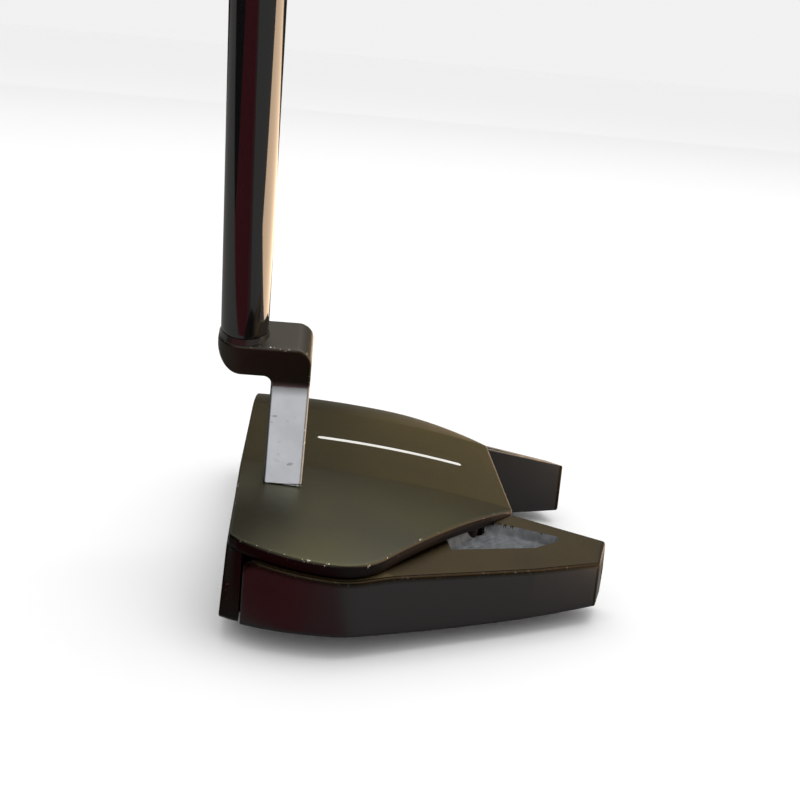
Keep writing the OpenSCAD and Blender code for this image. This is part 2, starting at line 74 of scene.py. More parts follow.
# neck and shaft
LIE = math.radians(70)
TIP = np.array([20.0, 0.5, 52.2])
AXIS_UP = np.array([math.cos(LIE), 0, math.sin(LIE)])
AXIS_SIDE = np.array([math.sin(LIE), 0, -math.cos(LIE)])
TIP_R, SHAFT_TAPER, CRANK_HALF, CRANK_T, BEAD_H = 4.7, 0.003, 5.35, 7.9, 1.2
POST_FRONT, POST_DEPTH, POST_T, FOOT_X = 6.3, 7.5, 7.2, 31.8
GRIP_LEN, GRIP_LOW, GRIP_TOP, CAP_T = 267.0, 10.4, 14.0, 4.0
CLUB_LEN, SHAFT_WALL = 864, 0.95
BUTT = CLUB_LEN - TIP[2] / math.sin(LIE)
# weights: head, thread and the ring they seat on
WEIGHT_R, WEIGHT_T, WEIGHT_SUNK, THREAD_R, THREAD_END, RING_T = 8.0, 4.4, 0.5, 4.0, 7.4, 0.9

def side_drop_radius(x):
    """Radius of the crown's wheel at a distance x from the centre line: full inside the middle strip, and beside it
    the height of a circle that starts with a crease."""
    out = np.maximum(np.abs(x) - STRIP_HALF, 0)
    return np.where(out > 0, CROWN_R - FACET_R * math.cos(CREASE)
                    + np.sqrt(FACET_R ** 2 - (out + FACET_R * math.sin(CREASE)) ** 2), CROWN_R)


def crown_z(x, y):
    """Height of the crown: the top of a wheel about a heel-to-toe axis, of the radius found for that x."""
    return FACE_H - CROWN_R + np.sqrt(side_drop_radius(x) ** 2 - (y - CROWN_Y) ** 2)


def sole_z(x, y):
    """Height of the sole: a wheel with a crowned rim, cut flat at the ground."""
    rim = SOLE_ALONG - SOLE_ACROSS + np.sqrt(SOLE_ACROSS ** 2 - x ** 2)
    return np.maximum(SOLE_ALONG - LAND_CUT - np.sqrt(rim ** 2 - (y - LAND_Y) ** 2), 0)


def arc(cx, cy, r, start, end, count=24):
    """Points on a circle's arc, angles in degrees."""
    a = np.radians(np.linspace(start, end, count))
    return np.stack([cx + r * np.cos(a), cy + r * np.sin(a)], 1)


def along(points, count, bend=4.0):
    """A closed loop resampled to count points, spaced by length plus bend millimetres for each radian of turn, so
    that tight corners get their share."""
    p = np.asarray(points, float)
    p = p[np.hypot(*(p - np.roll(p, 1, 0)).T) > 1e-6]
    step = np.roll(p, -1, 0) - p
    heading = np.arctan2(step[:, 1], step[:, 0])
    turn = np.abs((heading - np.roll(heading, 1) + np.pi) % (2 * np.pi) - np.pi)
    measure = np.hypot(*step.T) + bend * (turn + np.roll(turn, -1)) / 2
    s = np.concatenate([[0], np.cumsum(measure)])
    q = np.vstack([p, p[:1]])
    t = np.linspace(0, s[-1], count, endpoint=False)
    return np.stack([np.interp(t, s, q[:, 0]), np.interp(t, s, q[:, 1])], 1)


def outward(loop):
    """Unit normals of a closed anticlockwise loop, pointing out."""
    t = np.roll(loop, -1, 0) - np.roll(loop, 1, 0)
    n = np.stack([t[:, 1], -t[:, 0]], 1)
    return n / np.maximum(np.hypot(*n.T), 1e-9)[:, None]


def piece(name, rings, material, edge=None, shade=None, body="club", stands_for=(), sharp=32):
    """Surface over a grid: ring i point j joins ring i+1, and each ring closes on itself. The grid is welded, turned
    to face out, and rides on its body. edge marks where the finish rubs through, and on the wings where shade is
    painted along the ridge and tip; shade marks where the finish's second tone is painted in as light and shade."""
    rings = np.asarray(rings, float)
    n, m, _ = rings.shape
    co = (rings - [0, LAND_Y, 0]) * MM
    i, j = np.meshgrid(np.arange(n - 1), np.arange(m), indexing="ij")
    k = (j + 1) % m
    quads = np.stack([i * m + j, i * m + k, (i + 1) * m + k, (i + 1) * m + j], -1).reshape(-1, 4)
    mesh = bpy.data.meshes.new(name)
    mesh.from_pydata(co.reshape(-1, 3).tolist(), [], quads.tolist())
    for key, value in (("edge", edge), ("shade", shade)):
        field = np.zeros((n, m)) if value is None else np.broadcast_to(value, (n, m))
        mesh.attributes.new(key, "FLOAT", "POINT").data.foreach_set("value", field.ravel().astype(np.float32))
    b = bmesh.new()
    b.from_mesh(mesh)
    bmesh.ops.remove_doubles(b, verts=b.verts, dist=2e-6)
    bmesh.ops.recalc_face_normals(b, faces=b.faces)
    b.to_mesh(mesh)
    b.free()
    mesh.polygons.foreach_set("use_smooth", [True] * len(mesh.polygons))
    mesh.set_sharp_from_angle(angle=math.radians(sharp))
    mesh.materials.append(material)
    o = bpy.data.objects.new(name, mesh)
    bpy.context.scene.collection.objects.link(o)
    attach(o, body)
    if stands_for:
        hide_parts(*stands_for)
    return o


def add(tree, kind, inputs=None, **settings):
    """One node with its settings, its inputs given as values or as the sockets that feed them."""
    node = tree.nodes.new("ShaderNode" + kind)
    for key, value in settings.items():
        setattr(node, key, value)
    for key, value in (inputs or {}).items():
        socket = node.inputs[key]
        if isinstance(value, bpy.types.NodeSocket):
            tree.links.new(value, socket)
        else:
            socket.default_value = value
    return node


def colour(hexed):
    """An sRGB hex colour as linear RGBA."""
    c = np.array([int(hexed[i:i + 2], 16) for i in (1, 3, 5)]) / 255
    return tuple(np.where(c <= 0.04045, c / 12.92, ((c + 0.055) / 1.055) ** 2.4)) + (1.0,)


def ramp(tree, factor, stops):
    """A colour ramp through the given (place, colour or grey) stops."""
    node = add(tree, "ValToRGB", {"Fac": factor})
    while len(node.color_ramp.elements) < len(stops):
        node.color_ramp.elements.new(0.5)
    for element, (place, value) in zip(node.color_ramp.elements, stops):
        element.position = place
        element.color = colour(value) if isinstance(value, str) else (value, value, value, 1)
    return node.outputs["Color"]


def noise(tree, where, size_mm, detail, rough=0.5):
    """Noise whose blotches are about size_mm across."""
    return add(tree, "TexNoise", {"Vector": where, "Scale": 1000 / size_mm, "Detail": detail,
                                            "Roughness": rough}).outputs["Fac"]


def painted(tree, attribute):
    """One of the two fields that a piece's points carry: edge or shade."""
    return add(tree, "Attribute", attribute_name=attribute).outputs["Fac"]


def mixed(tree, factor, tone, hexed):
    return add(tree, "Mix", {"Factor": factor, "A": tone, "B": colour(hexed)}, data_type="RGBA").outputs[2]


def times(tree, a, b):
    return add(tree, "Math", {0: a, 1: b}, operation="MULTIPLY").outputs[0]


def finish_of(name, base, base_alt, patch_mm, rough, grain_mm, grain_depth, metallic=1.0, edge_wear_and_shade=None, edge_wear_and_shade_mm=1.2,
              scratches=None, coat=0.0, brushed=None, speck=None, bevel_mm=0.0, second=None, gloss=0.5):
    """A surface finish: two close tones in patches, a second tone painted in as light and shade where the piece's
    shade field lies, a grain that moves both roughness and bump, rubbed edges, which on the wings are painted shade,
    and hairline scratches."""
    m = bpy.data.materials.new(name)
    m.use_nodes = True
    t = m.node_tree
    t.nodes.clear()
    where = add(t, "TexCoord").outputs["Object"]
    patch = noise(t, where, patch_mm, 3.0, 0.55)
    tone = ramp(t, patch, [(0.35, base), (0.65, base_alt)])
    # the second tone is painted light and shade, laid in where the piece's shade field is high
    if second:
        tone = mixed(t, painted(t, "shade"), tone, second)
    stretched = where
    if brushed:
        stretched = add(t, "Mapping", {"Vector": where, "Scale": brushed}).outputs["Vector"]
    grain = noise(t, stretched, grain_mm, 4.0, 0.6)
    roughness = add(t, "MapRange", {"Value": grain, "From Min": 0.3, "From Max": 0.7,
                                              "To Min": rough[0], "To Max": rough[1]}).outputs["Result"]
    if speck:
        fine = noise(t, where, speck[0], 2.0)
        glint = ramp(t, fine, [(speck[2], 0.0), (speck[2] + 0.03, 1.0)])
        tone = mixed(t, glint, tone, speck[1])
    if scratches:
        strand = add(t, "Mapping", {"Vector": where, "Rotation": scratches[3],
                                              "Scale": scratches[2]}).outputs["Vector"]
        hair = noise(t, strand, scratches[0], 1.0)
        line = ramp(t, hair, [(0.0, 0.0), (0.68, 0.0), (0.71, 1.0)])
        keep = ramp(t, patch, [(0.45, 0.0), (0.6, 1.0)])
        # scratches only where the first tone lies: on the neck, that is the post's faces with their painted reflection
        on_first_tone = ramp(t, painted(t, "shade"), [(0.0, 1.0), (0.2, 0.0)])
        tone = mixed(t, times(t, times(t, line, keep), on_first_tone), tone, scratches[1])
    # rubbed edges where the edge field lies; on the wings the same mask paints shade along the ridge and the tip
    if edge_wear_and_shade:
        edge_patch = ramp(t, noise(t, where, edge_wear_and_shade_mm, 5.0, 0.7), [(edge_wear_and_shade[1], 0.0), (edge_wear_and_shade[1] + 0.05, 1.0)])
        tone = mixed(t, times(t, painted(t, "edge"), edge_patch), tone, edge_wear_and_shade[0])
    shader = add(t, "BsdfPrincipled", {"Base Color": tone, "Roughness": roughness, "Metallic": metallic,
                                                 "Coat Weight": coat, "Coat Roughness": 0.08,
                                                 "Specular IOR Level": gloss})
    bump_in = {"Height": grain, "Strength": 1.0, "Distance": grain_depth * MM}
    if bevel_mm:
        bump_in["Normal"] = add(t, "Bevel", {"Radius": bevel_mm * MM}, samples=4).outputs["Normal"]
    t.links.new(add(t, "Bump", bump_in).outputs["Normal"], shader.inputs["Normal"])
    add(t, "OutputMaterial", {"Surface": shader.outputs["BSDF"]})
    return m


# Machined aluminium, bead blasted and dyed dark bronze: an even satin with a fine tooth, bare metal where its edges
# are rubbed.
# Its milled sides, its underside and the groove under the sight line are painted in a darker second tone: painted
# shade, which the face wall and the bosses take too.
plate_finish = finish_of("dark_bronze_anodised_aluminium", "#494632", "#424034", 26, (0.30, 0.38), 0.35, 0.006,
                         edge_wear_and_shade=("#cfc8b8", 0.62), edge_wear_and_shade_mm=1.1, speck=(0.5, "#26241d", 0.72), second="#2b2727")
# Investment-cast steel with a dark plated satin finish. The tops are painted a warmer tone than the greyer sides,
# painted light, and the ridges' rounding and the tips are painted darker, painted shade.
wing_finish = finish_of("black_plated_cast_steel", "#463c27", "#3e3525", 18, (0.30, 0.38), 0.8, 0.008,
                        edge_wear_and_shade=("#2b251b", 0.36), edge_wear_and_shade_mm=1.0, second="#504f50")
# The same casting as it left the shell, unpolished in the pocket: coarse grey grit.
cast_finish = finish_of("rough_as_cast_steel", "#6b6f73", "#54585c", 1.6, (0.6, 0.8), 0.45, 0.03, metallic=0.35)
# Milled aluminium sole, anodised black, with the cutter's fine passes.
sole_finish = finish_of("black_anodised_milled_aluminium", "#3b3c3e", "#353638", 22, (0.34, 0.44), 0.4, 0.004,
                        edge_wear_and_shade=("#b8b6b0", 0.6), brushed=(0.12, 1.0, 1.0), bevel_mm=0.25)
# Stainless neck, bead blasted and finished near black, with a few hairline rubs on the post: the post's broad
# faces are painted a pale matt grey, painted reflection of the light above, and the crank keeps the near black.
neck_finish = finish_of("bead_blasted_steel_with_painted_reflection", "#dde1e7", "#ced2d8", 9, (0.36, 0.46), 0.3, 0.008,
                        edge_wear_and_shade=("#f2f0ea", 0.62), edge_wear_and_shade_mm=0.9, second="#45413a",
                        scratches=(0.7, "#6d6e70", (1.0, 0.25, 0.14), (0.5, 0.6, 0.9)))
# Steel tube under baked gloss black enamel: near mirror, with the faintest draw marks along it.
shaft_finish = finish_of("gloss_black_enamelled_steel", "#0d0b0c", "#0a090a", 40, (0.05, 0.08), 2.0, 0.0006,
                         brushed=(1.0, 1.0, 0.05), metallic=0.0, gloss=1.0)
# Two-part paint run into the engraved line: flat white with slight thickness changes.
paint_finish = finish_of("white_enamel_paint", "#f4f3ee", "#e9e8e2", 4, (0.30, 0.42), 0.9, 0.01, metallic=0.0)
# Moulded thermoplastic urethane insert: dark, semi-matt, lightly textured by its mould.
insert_finish = finish_of("moulded_urethane", "#26272a", "#202124", 9, (0.45, 0.58), 0.35, 0.012, metallic=0.0)
# Thin aluminium bars set in the insert, sanded flush.
bar_finish = finish_of("sanded_aluminium", "#c6c8ca", "#b6b8bb", 8, (0.28, 0.42), 0.25, 0.003,
                       brushed=(0.05, 1.0, 1.0))
# Turned stainless weights: concentric tool marks read as a fine satin.
weight_finish = finish_of("turned_stainless_steel", "#a9abad", "#9a9c9f", 7, (0.24, 0.34), 0.3, 0.003,
                          edge_wear_and_shade=("#e9e7e2", 0.62))
# Black-oxide alloy steel screws.
screw_finish = finish_of("black_oxide_steel", "#4b4c4e", "#3e3f41", 3, (0.32, 0.46), 0.25, 0.004, metallic=0.9,
                         bevel_mm=0.15)
# Nitrile seal.
seal_finish = finish_of("nitrile_rubber", "#1b1b1c", "#232324", 2, (0.5, 0.65), 0.2, 0.004, metallic=0.0)
# Two-part epoxy, dyed black, cured to a gloss.
epoxy_finish = finish_of("black_epoxy", "#171312", "#221b18", 3, (0.12, 0.2), 1.0, 0.004, metallic=0.0, coat=0.4)
# Closed-cell damping foam and the grip's foam core.
foam_finish = finish_of("closed_cell_foam", "#8f8a80", "#7d786f", 2.5, (0.8, 0.95), 0.5, 0.08, metallic=0.0)
# Paper-backed double-sided tape.
tape_finish = finish_of("double_sided_tape", "#d8d2bd", "#cdc6b0", 6, (0.6, 0.75), 0.4, 0.01, metallic=0.0)
# Moulded rubber end cap.
cap_finish = finish_of("moulded_rubber", "#1c1c1d", "#242425", 6, (0.55, 0.7), 0.4, 0.012, metallic=0.0)


def grip_material():
    """Polyurethane skin with pressed pores in rows: each pore is a small dip, 1.9 mm from the next along the grip,
    with 40 of them around it."""
    m = bpy.data.materials.new("pressed_polyurethane_skin")
    m.use_nodes = True
    t = m.node_tree
    t.nodes.clear()
    where = add(t, "TexCoord").outputs["UV"]
    cells = add(t, "TexVoronoi", {"Vector": where, "Scale": 1.0, "Randomness": 0.12},
                voronoi_dimensions="2D").outputs["Distance"]
    pore = ramp(t, cells, [(0.14, 0.0), (0.3, 1.0)])
    space = add(t, "TexCoord").outputs["Object"]
    cloth = noise(t, space, 0.4, 4.0)
    rub = noise(t, space, 30, 2.0)
    tone = ramp(t, rub, [(0.35, "#1d1e20"), (0.65, "#27282a")])
    # each pore's dip is painted darker than the skin around it: painted shade
    tone = add(t, "Mix", {"Factor": pore, "A": colour("#101112"), "B": tone}, data_type="RGBA").outputs[2]
    rough = add(t, "MapRange", {"Value": cloth, "To Min": 0.55, "To Max": 0.75}).outputs["Result"]
    height = add(t, "Math", {0: pore, 1: cloth}, operation="ADD").outputs[0]
    bump = add(t, "Bump", {"Height": height, "Strength": 0.8, "Distance": 0.25 * MM}).outputs["Normal"]
    shader = add(t, "BsdfPrincipled", {"Base Color": tone, "Roughness": rough, "Normal": bump})
    add(t, "OutputMaterial", {"Surface": shader.outputs["BSDF"]})
    return m


grip_finish = grip_material()


# ---- top plate -------------------------------------------------------------------------------------------
def plate_outline():
    """Anticlockwise plan of the top plate: straight front, swept front arcs, round shoulders, straight sides, clipped
    rear corners."""
    front_y = TAN_LOFT * FACE_H
    a0 = math.degrees(math.asin((front_y - SHOULDER_Y) / FRONT_R))
    right = np.vstack([arc(FRONT_CX, SHOULDER_Y, FRONT_R, a0, 0),
                       arc(SHOULDER_CX, SHOULDER_Y, SHOULDER_R, 0, math.degrees(SIDE_ANGLE))])
    corner = np.array([REAR_HALF, PLATE_LEN])
    r = 0.7
    turn = math.pi / 2 - SIDE_ANGLE
    centre = corner - np.array([math.tan(turn / 2) * r, r])
    rear = arc(centre[0], centre[1], r, math.degrees(SIDE_ANGLE), 90, 10)
    first = right[0]
    nose = arc(first[0] - 0.8, front_y + 0.8, 0.8, -90, a0, 8)
    half = np.vstack([nose, right[2:], rear])
    other = half[::-1] * [-1, 1]
    fill = np.stack([np.linspace(-first[0] + 1.2, first[0] - 1.2, 160), np.full(160, front_y)], 1)
    back = np.stack([np.linspace(centre[0] - 0.5, -centre[0] + 0.5, 90), np.full(90, PLATE_LEN)], 1)
    return along(np.vstack([half, back, other, fill]), 900, 3.0)


def line_loop(outline, half):
    """For each point of an outline, the point of the sight line's stadium nearest to it, at the given half width."""
    spine = np.stack([np.zeros(len(outline)), np.clip(outline[:, 1], LINE_Y, LINE_Y + LINE_LEN)], 1)
    d = outline - spine
    stops = np.linspace(LINE_Y, LINE_Y + LINE_LEN, 81)
    # both sides of the outline fold onto the same stops, so the seam along the middle closes
    seam = np.stack([spine[:, 0], stops[np.abs(spine[:, 1:] - stops).argmin(1)]], 1)
    return spine + half * d / np.maximum(np.hypot(*d.T), 1e-9)[:, None], seam


def on_crown(xy, drop=0.0):
    return np.column_stack([xy, crown_z(xy[:, 0], xy[:, 1]) - drop])


def top_plate():
    """Rings from the sight line's groove outwards over the crown, round the edge, down the side and back under the
    plate."""
    loop = plate_outline()
    n = outward(loop)
    front = np.maximum(-n[:, 1], 0) ** 4
    r = 0.42
    inner, spine = line_loop(loop, LINE_HALF)
    lip, _ = line_loop(loop, LINE_HALF + 0.14)
    # each row holds its points, its rubbed-edge weight and its painted shade: the groove, the turn of the edge, the
    # side and the underside are painted darker
    rows = [(on_crown(spine, 0.45), 0, 1), (on_crown(inner, 0.45), 0, 1), (on_crown(inner, 0.1), 0, 1),
            (on_crown(lip, 0.0), 0, 0.3)]
    inset = loop - n * r
    rows += [(on_crown(lip + (inset - lip) * s ** 0.92), 0, 0) for s in np.linspace(0, 1, 76)[1:]]
    for a in np.linspace(0, 90, 9)[1:]:
        a = math.radians(a)
        rows.append((on_crown(loop - n * r * (1 - math.sin(a)), r * (1 - math.cos(a))), 1,
                     max(0, math.degrees(a) - 30) / 60))
    for d in (0.6, 1.2, PLATE_T - 0.12, PLATE_T):
        p = on_crown(loop - n * (0.0 if d < PLATE_T else 0.06), d)
        p[:, 1] -= front * (d - r) * TAN_LOFT
        rows.append((p, 0.35 if d < 1 else 0, 1))
    rows += [(on_crown(loop + (spine - loop) * s, PLATE_T), 0, 1) for s in (0.3, 0.6, 0.8, 0.9, 1.0)]
    rings, edge, shade = zip(*rows)
    piece("top_plate", rings, plate_finish, np.array(edge)[:, None], np.array(shade)[:, None],
          stands_for=("head_body",))


def sight_line():
    """White paint standing in the engraved line, its surface a hair below the crown and drawn up at the walls."""
    loop = plate_outline()[::4]
    brim = LINE_HALF - 0.01
    rows = ((0.0, 0.10), (0.45, 0.10), (0.7, 0.075), (brim, 0.03), (brim, 0.4), (0.0, 0.4))
    rings = [on_crown(line_loop(loop, half)[0], drop) for half, drop in rows]
    piece("sight_line_paint", rings, paint_finish, stands_for=("sight_line",), sharp=60)


# ---- face ------------------------------------------------------------------------------------------------
def plate_half(y):
    """Half width of the top plate at a distance y from the leading edge."""
    y = np.asarray(y, float)
    front = FRONT_CX + np.sqrt(np.maximum(FRONT_R ** 2 - (y - SHOULDER_Y) ** 2, 0))
    turn_y = SHOULDER_Y + SHOULDER_R * math.sin(SIDE_ANGLE)
    turn_x = SHOULDER_CX + SHOULDER_R * math.cos(SIDE_ANGLE)
    round_ = SHOULDER_CX + np.sqrt(np.maximum(SHOULDER_R ** 2 - (y - SHOULDER_Y) ** 2, 0))
    straight = turn_x + (REAR_HALF - turn_x) * (y - turn_y) / (PLATE_LEN - turn_y)
    return np.where(y < SHOULDER_Y, front, np.where(y < turn_y, round_, straight))


def face_y(z):
    """Distance of the lofted face behind the leading edge, with its lower edge rounded by 2 mm."""
    r = 2.0
    start = r / math.cos(LOFT) + r * TAN_LOFT
    round_ = start - np.sqrt(np.maximum(r * r - (r - np.minimum(z, r)) ** 2, 0))
    return np.where(z > r * (1 - math.sin(LOFT)), TAN_LOFT * z, round_)


def face_wall():
    """Rings in the face's outline, seen from the front: the pocket's floor and wall, its lip, the face out to its
    edge, and back round the flanges."""
    top_n, side_n, low_n, mid_z = 260, 60, 260, INSERT_Z
    half_l, half_h = (INSERT_LEN - INSERT_H) / 2, (INSERT_H + INSERT_GAP) / 2
    floor_y, crown_from = 6.3, 1.3

    def stadium(grow):
        r = max(half_h + grow, 0)
        right, left = arc(half_l, mid_z, r, -90, 90, side_n), arc(-half_l, mid_z, r, 90, 270, side_n)
        top = np.stack([np.linspace(half_l, -half_l, top_n), np.full(top_n, mid_z + r)], 1)
        low = np.stack([np.linspace(-half_l, half_l, low_n), np.full(low_n, mid_z - r)], 1)
        return np.vstack([right, top[1:-1], left, low[1:-1]])

    def outline(y, inset, half=None):
        edge_x = (float(plate_half(max(y, 0.3))) if half is None else half) - inset
        zs = np.linspace(-1, 1, side_n)
        ex = np.full(side_n, edge_x)
        low_end = float(sole_z(edge_x, y)) + inset
        top_end = float(crown_z(edge_x, max(y, crown_from))) - PLATE_T
        side_z = low_end + (top_end - low_end) * (zs + 1) / 2
        # round the lower corner a little
        right = np.stack([ex - 0.8 * np.maximum(0, 1 - (side_z - low_end) / 1.2) ** 2, side_z], 1)
        left = right[::-1] * [-1, 1]
        x = np.linspace(edge_x, -edge_x, top_n)
        top = np.stack([x, crown_z(x, max(y, crown_from)) - PLATE_T], 1)
        x = np.linspace(-right[0, 0], right[0, 0], low_n)
        low = np.stack([x, sole_z(x, y) + inset], 1)
        return np.vstack([right, top[1:-1], left, low[1:-1]])

    def at(loop, depth, lofted=True):
        y = face_y(loop[:, 1]) + depth if lofted else np.full(len(loop), depth)
        return np.column_stack([loop[:, 0], y, loop[:, 1]])

    lip = 0.16
    rings = [at(stadium(-half_h), floor_y), at(stadium(0), floor_y), at(stadium(0), lip), at(stadium(0.05), 0.05),
             at(stadium(lip), 0)]
    edge = [0, 0, 0.6, 0.8, 0.3]
    inner, outer = stadium(lip), outline(0, FACE_ROUND)
    for s in np.linspace(0, 1, 9)[1:]:
        rings.append(at(inner + (outer - inner) * s, 0))
        edge.append(0)
    for a in np.linspace(0, 90, 6)[1:]:
        a = math.radians(a)
        rings.append(at(outline(0, FACE_ROUND * (1 - math.sin(a))), FACE_ROUND * (1 - math.cos(a))))
        edge.append(0.9)
    rings += [at(outline(y, 0), y, lofted=False) for y in (2.2, 3.0, FLANGE_T)]
    rings += [at(outline(y, 0, FLANGE_IN), y, lofted=False) for y in (FLANGE_T, WALL_T)]
    rings.append(at(stadium(-half_h), WALL_T, lofted=False))
    edge += [0] * (len(rings) - len(edge))
    # the whole face wall is painted most of the way to the plate's darker second tone: painted shade
    piece("face_wall", rings, plate_finish, np.array(edge)[:, None], 0.85)


def face_slabs():
    """Insert with a bar between each pair of ribs: the insert is a stadium of stacked ribs, its front standing in the
    pocket with a narrow groove around it."""
    half_l, half_h, mid_z = (INSERT_LEN - INSERT_H) / 2, INSERT_H / 2, INSERT_Z
    pitch = (INSERT_H - 2 * BAR_MARGIN) / BAR_COUNT
    middles = (np.arange(BAR_COUNT) - (BAR_COUNT - 1) / 2) * pitch
    # height steps across the insert: at each bar's edges the front dips by 0.12 mm
    step = BAR_H / 2 + np.array([0.12, 0.02, -0.02])
    steps = np.concatenate([-step, step[::-1]])
    z = np.concatenate([[-half_h], (middles[:, None] + steps).ravel(), [half_h]])
    dip = np.array([0.0] + [0.0, 0.1, 0.12, 0.12, 0.1, 0.0] * BAR_COUNT + [0.0])
    extra = np.linspace(-half_h, half_h, 60)
    fine = np.unique(np.concatenate([z, extra]))
    d = np.interp(fine, z, dip)
    half = half_l + np.sqrt(np.maximum(half_h ** 2 - fine ** 2, 0))
    u = np.linspace(-1, 1, 80)
    long = (INSERT_LEN - INSERT_H - 4) / 2
    x = half[:, None] * u[None, :]
    inside = np.clip((long + 0.6 - np.abs(x)) / 0.4, 0, 1)
    near_end, near_top = half[:, None] - np.abs(x), half_h - np.abs(fine[:, None])
    round_ = 0.25 * np.clip(1 - near_end / 0.3, 0, 1) ** 2 + 0.25 * np.clip(1 - near_top / 0.3, 0, 1) ** 2
    zz = np.broadcast_to(fine[:, None] + mid_z, x.shape)
    front = np.stack([x, TAN_LOFT * zz + d[:, None] * inside + round_ + 0.02, zz], -1)
    back = front.copy()
    back[..., 1] = TAN_LOFT * zz + INSERT_T
    rings = np.concatenate([front, back[:, ::-1]], 1)
    ends = [np.repeat(rings[k].mean(0)[None], rings.shape[1], 0)[None] for k in (0, -1)]
    piece("face_insert_urethane", np.concatenate([ends[0], rings, ends[1]]), insert_finish,
          stands_for=("face_insert",))
    # a bar's section in (up, back), its front corners rounded by 0.1 mm
    profile = along(np.vstack([arc(-0.25, 0.25, 0.1, 180, 270, 5), arc(0.25, 0.25, 0.1, 270, 360, 5),
                               arc(0.3, 1.3, 0.05, 0, 90, 3), arc(-0.3, 1.3, 0.05, 90, 180, 3)]), 28, 0.5)
    xs = np.concatenate([[-long, -long, -long + 0.08], np.linspace(-long + 0.4, long - 0.4, 24),
                         [long - 0.08, long, long]])
    scale = np.concatenate([[0, 0.8], np.ones(len(xs) - 4), [0.8, 0]])[:, None]
    for i, middle in enumerate(middles):
        zc = mid_z + middle + profile[None, :, 0] * scale
        yy = TAN_LOFT * zc - 0.115 + 0.6 + (profile[None, :, 1] - 0.6) * scale
        piece(f"insert_bar_{i + 1}", np.stack([np.repeat(xs[:, None], len(profile), 1), yy, zc], -1), bar_finish,
              stands_for=("insert_bars",) if i == 0 else ())


# ---- wings -----------------------------------------------------------------------------------------------
WING_SCREWS = np.array([[28.9, 47.5], [40.0, 34.0]])
POCKET = np.array([[26.4, 51], [26.6, 66.2], [28.2, 66.2], [32.4, 60.8], [39.2, 43.2], [36, 42.6]])
POCKET_DEPTH, POCKET_SLOPE = 1.8, 0.75
WEIGHT_AT = np.array([40.0, 20.5])
WEIGHT_SEAT = float(sole_z(*WEIGHT_AT)) + WEIGHT_SUNK + WEIGHT_T
WING_FRONT, RELIEF_R, SCREW_BORE_R, PORT_R = 4.3, 2.6, 3.8, 8.08
EDGE_OUT = np.array([math.cos(SIDE_ANGLE), math.sin(SIDE_ANGLE)])


def wing_outer(y):
    """Outer half width of a wing: the plate's front arc and shoulder grown by the ledge, then the tapering side."""
    front = FRONT_CX + np.sqrt((FRONT_R + PROUD) ** 2 - (y - SHOULDER_Y) ** 2)
    round_ = SHOULDER_CX + np.sqrt(np.maximum(WING_R ** 2 - (y - SHOULDER_Y) ** 2, 0))
    side = TURN[0] - (y - TURN[1]) * math.tan(TAPER)
    return np.where(y < SHOULDER_Y, front, np.where(y < TURN[1], round_, side))


def wing_top(x, y, under):
    """The wing's sloping plane; ahead of the ridge's end, and under the plate, no higher than the plate's
    underside."""
    plane = WING_Z - SLOPE_OUT * x - SLOPE_BACK * y
    low = np.minimum(plane, crown_z(x, y) - PLATE_T - SEAM)
    return np.where(under | (y < RIDGE_LEN), low, plane)


def inside_by(x, y, polygon):
    """Distance inside a convex polygon, negative outside."""
    a, b = polygon, np.roll(polygon, -1, 0)
    sense = np.sign(np.sum(a[:, 0] * b[:, 1] - a[:, 1] * b[:, 0]))
    d = np.full(x.shape, 1e9)
    for p, q in zip(a, b):
        e = (q - p) / np.hypot(*(q - p))
        d = np.minimum(d, sense * (e[0] * (y - p[1]) - e[1] * (x - p[0])))
    return d


def onto_rim(x, y, polygon, reach):
    """Grid points within reach of a convex polygon's edges are moved square onto the nearest edge, so that the rim
    runs straight across the grid."""
    a, b = polygon, np.roll(polygon, -1, 0)
    sense = np.sign(np.sum(a[:, 0] * b[:, 1] - a[:, 1] * b[:, 0]))
    e = (b - a) / np.hypot(*(b - a).T)[:, None]
    n = sense * np.stack([-e[:, 1], e[:, 0]], 1)
    d = (x[..., None] - a[:, 0]) * n[:, 0] + (y[..., None] - a[:, 1]) * n[:, 1]
    k = d.argmin(-1)
    least = np.take_along_axis(d, k[..., None], -1)[..., 0]
    near = np.abs(least) < reach
    return x - np.where(near, least * n[k, 0], 0), y - np.where(near, least * n[k, 1], 0)


def snapped(x, y, circles):
    """Grid points near a circle are moved onto it, so that a hole's rim is round although the grid is square."""
    for cx, cy, r, reach in circles:
        d = np.hypot(x - cx, y - cy)
        near = np.abs(d - r) < reach
        k = np.where(near, r / np.maximum(d, 1e-9), 1)
        x, y = cx + (x - cx) * k, cy + (y - cy) * k
    return x, y


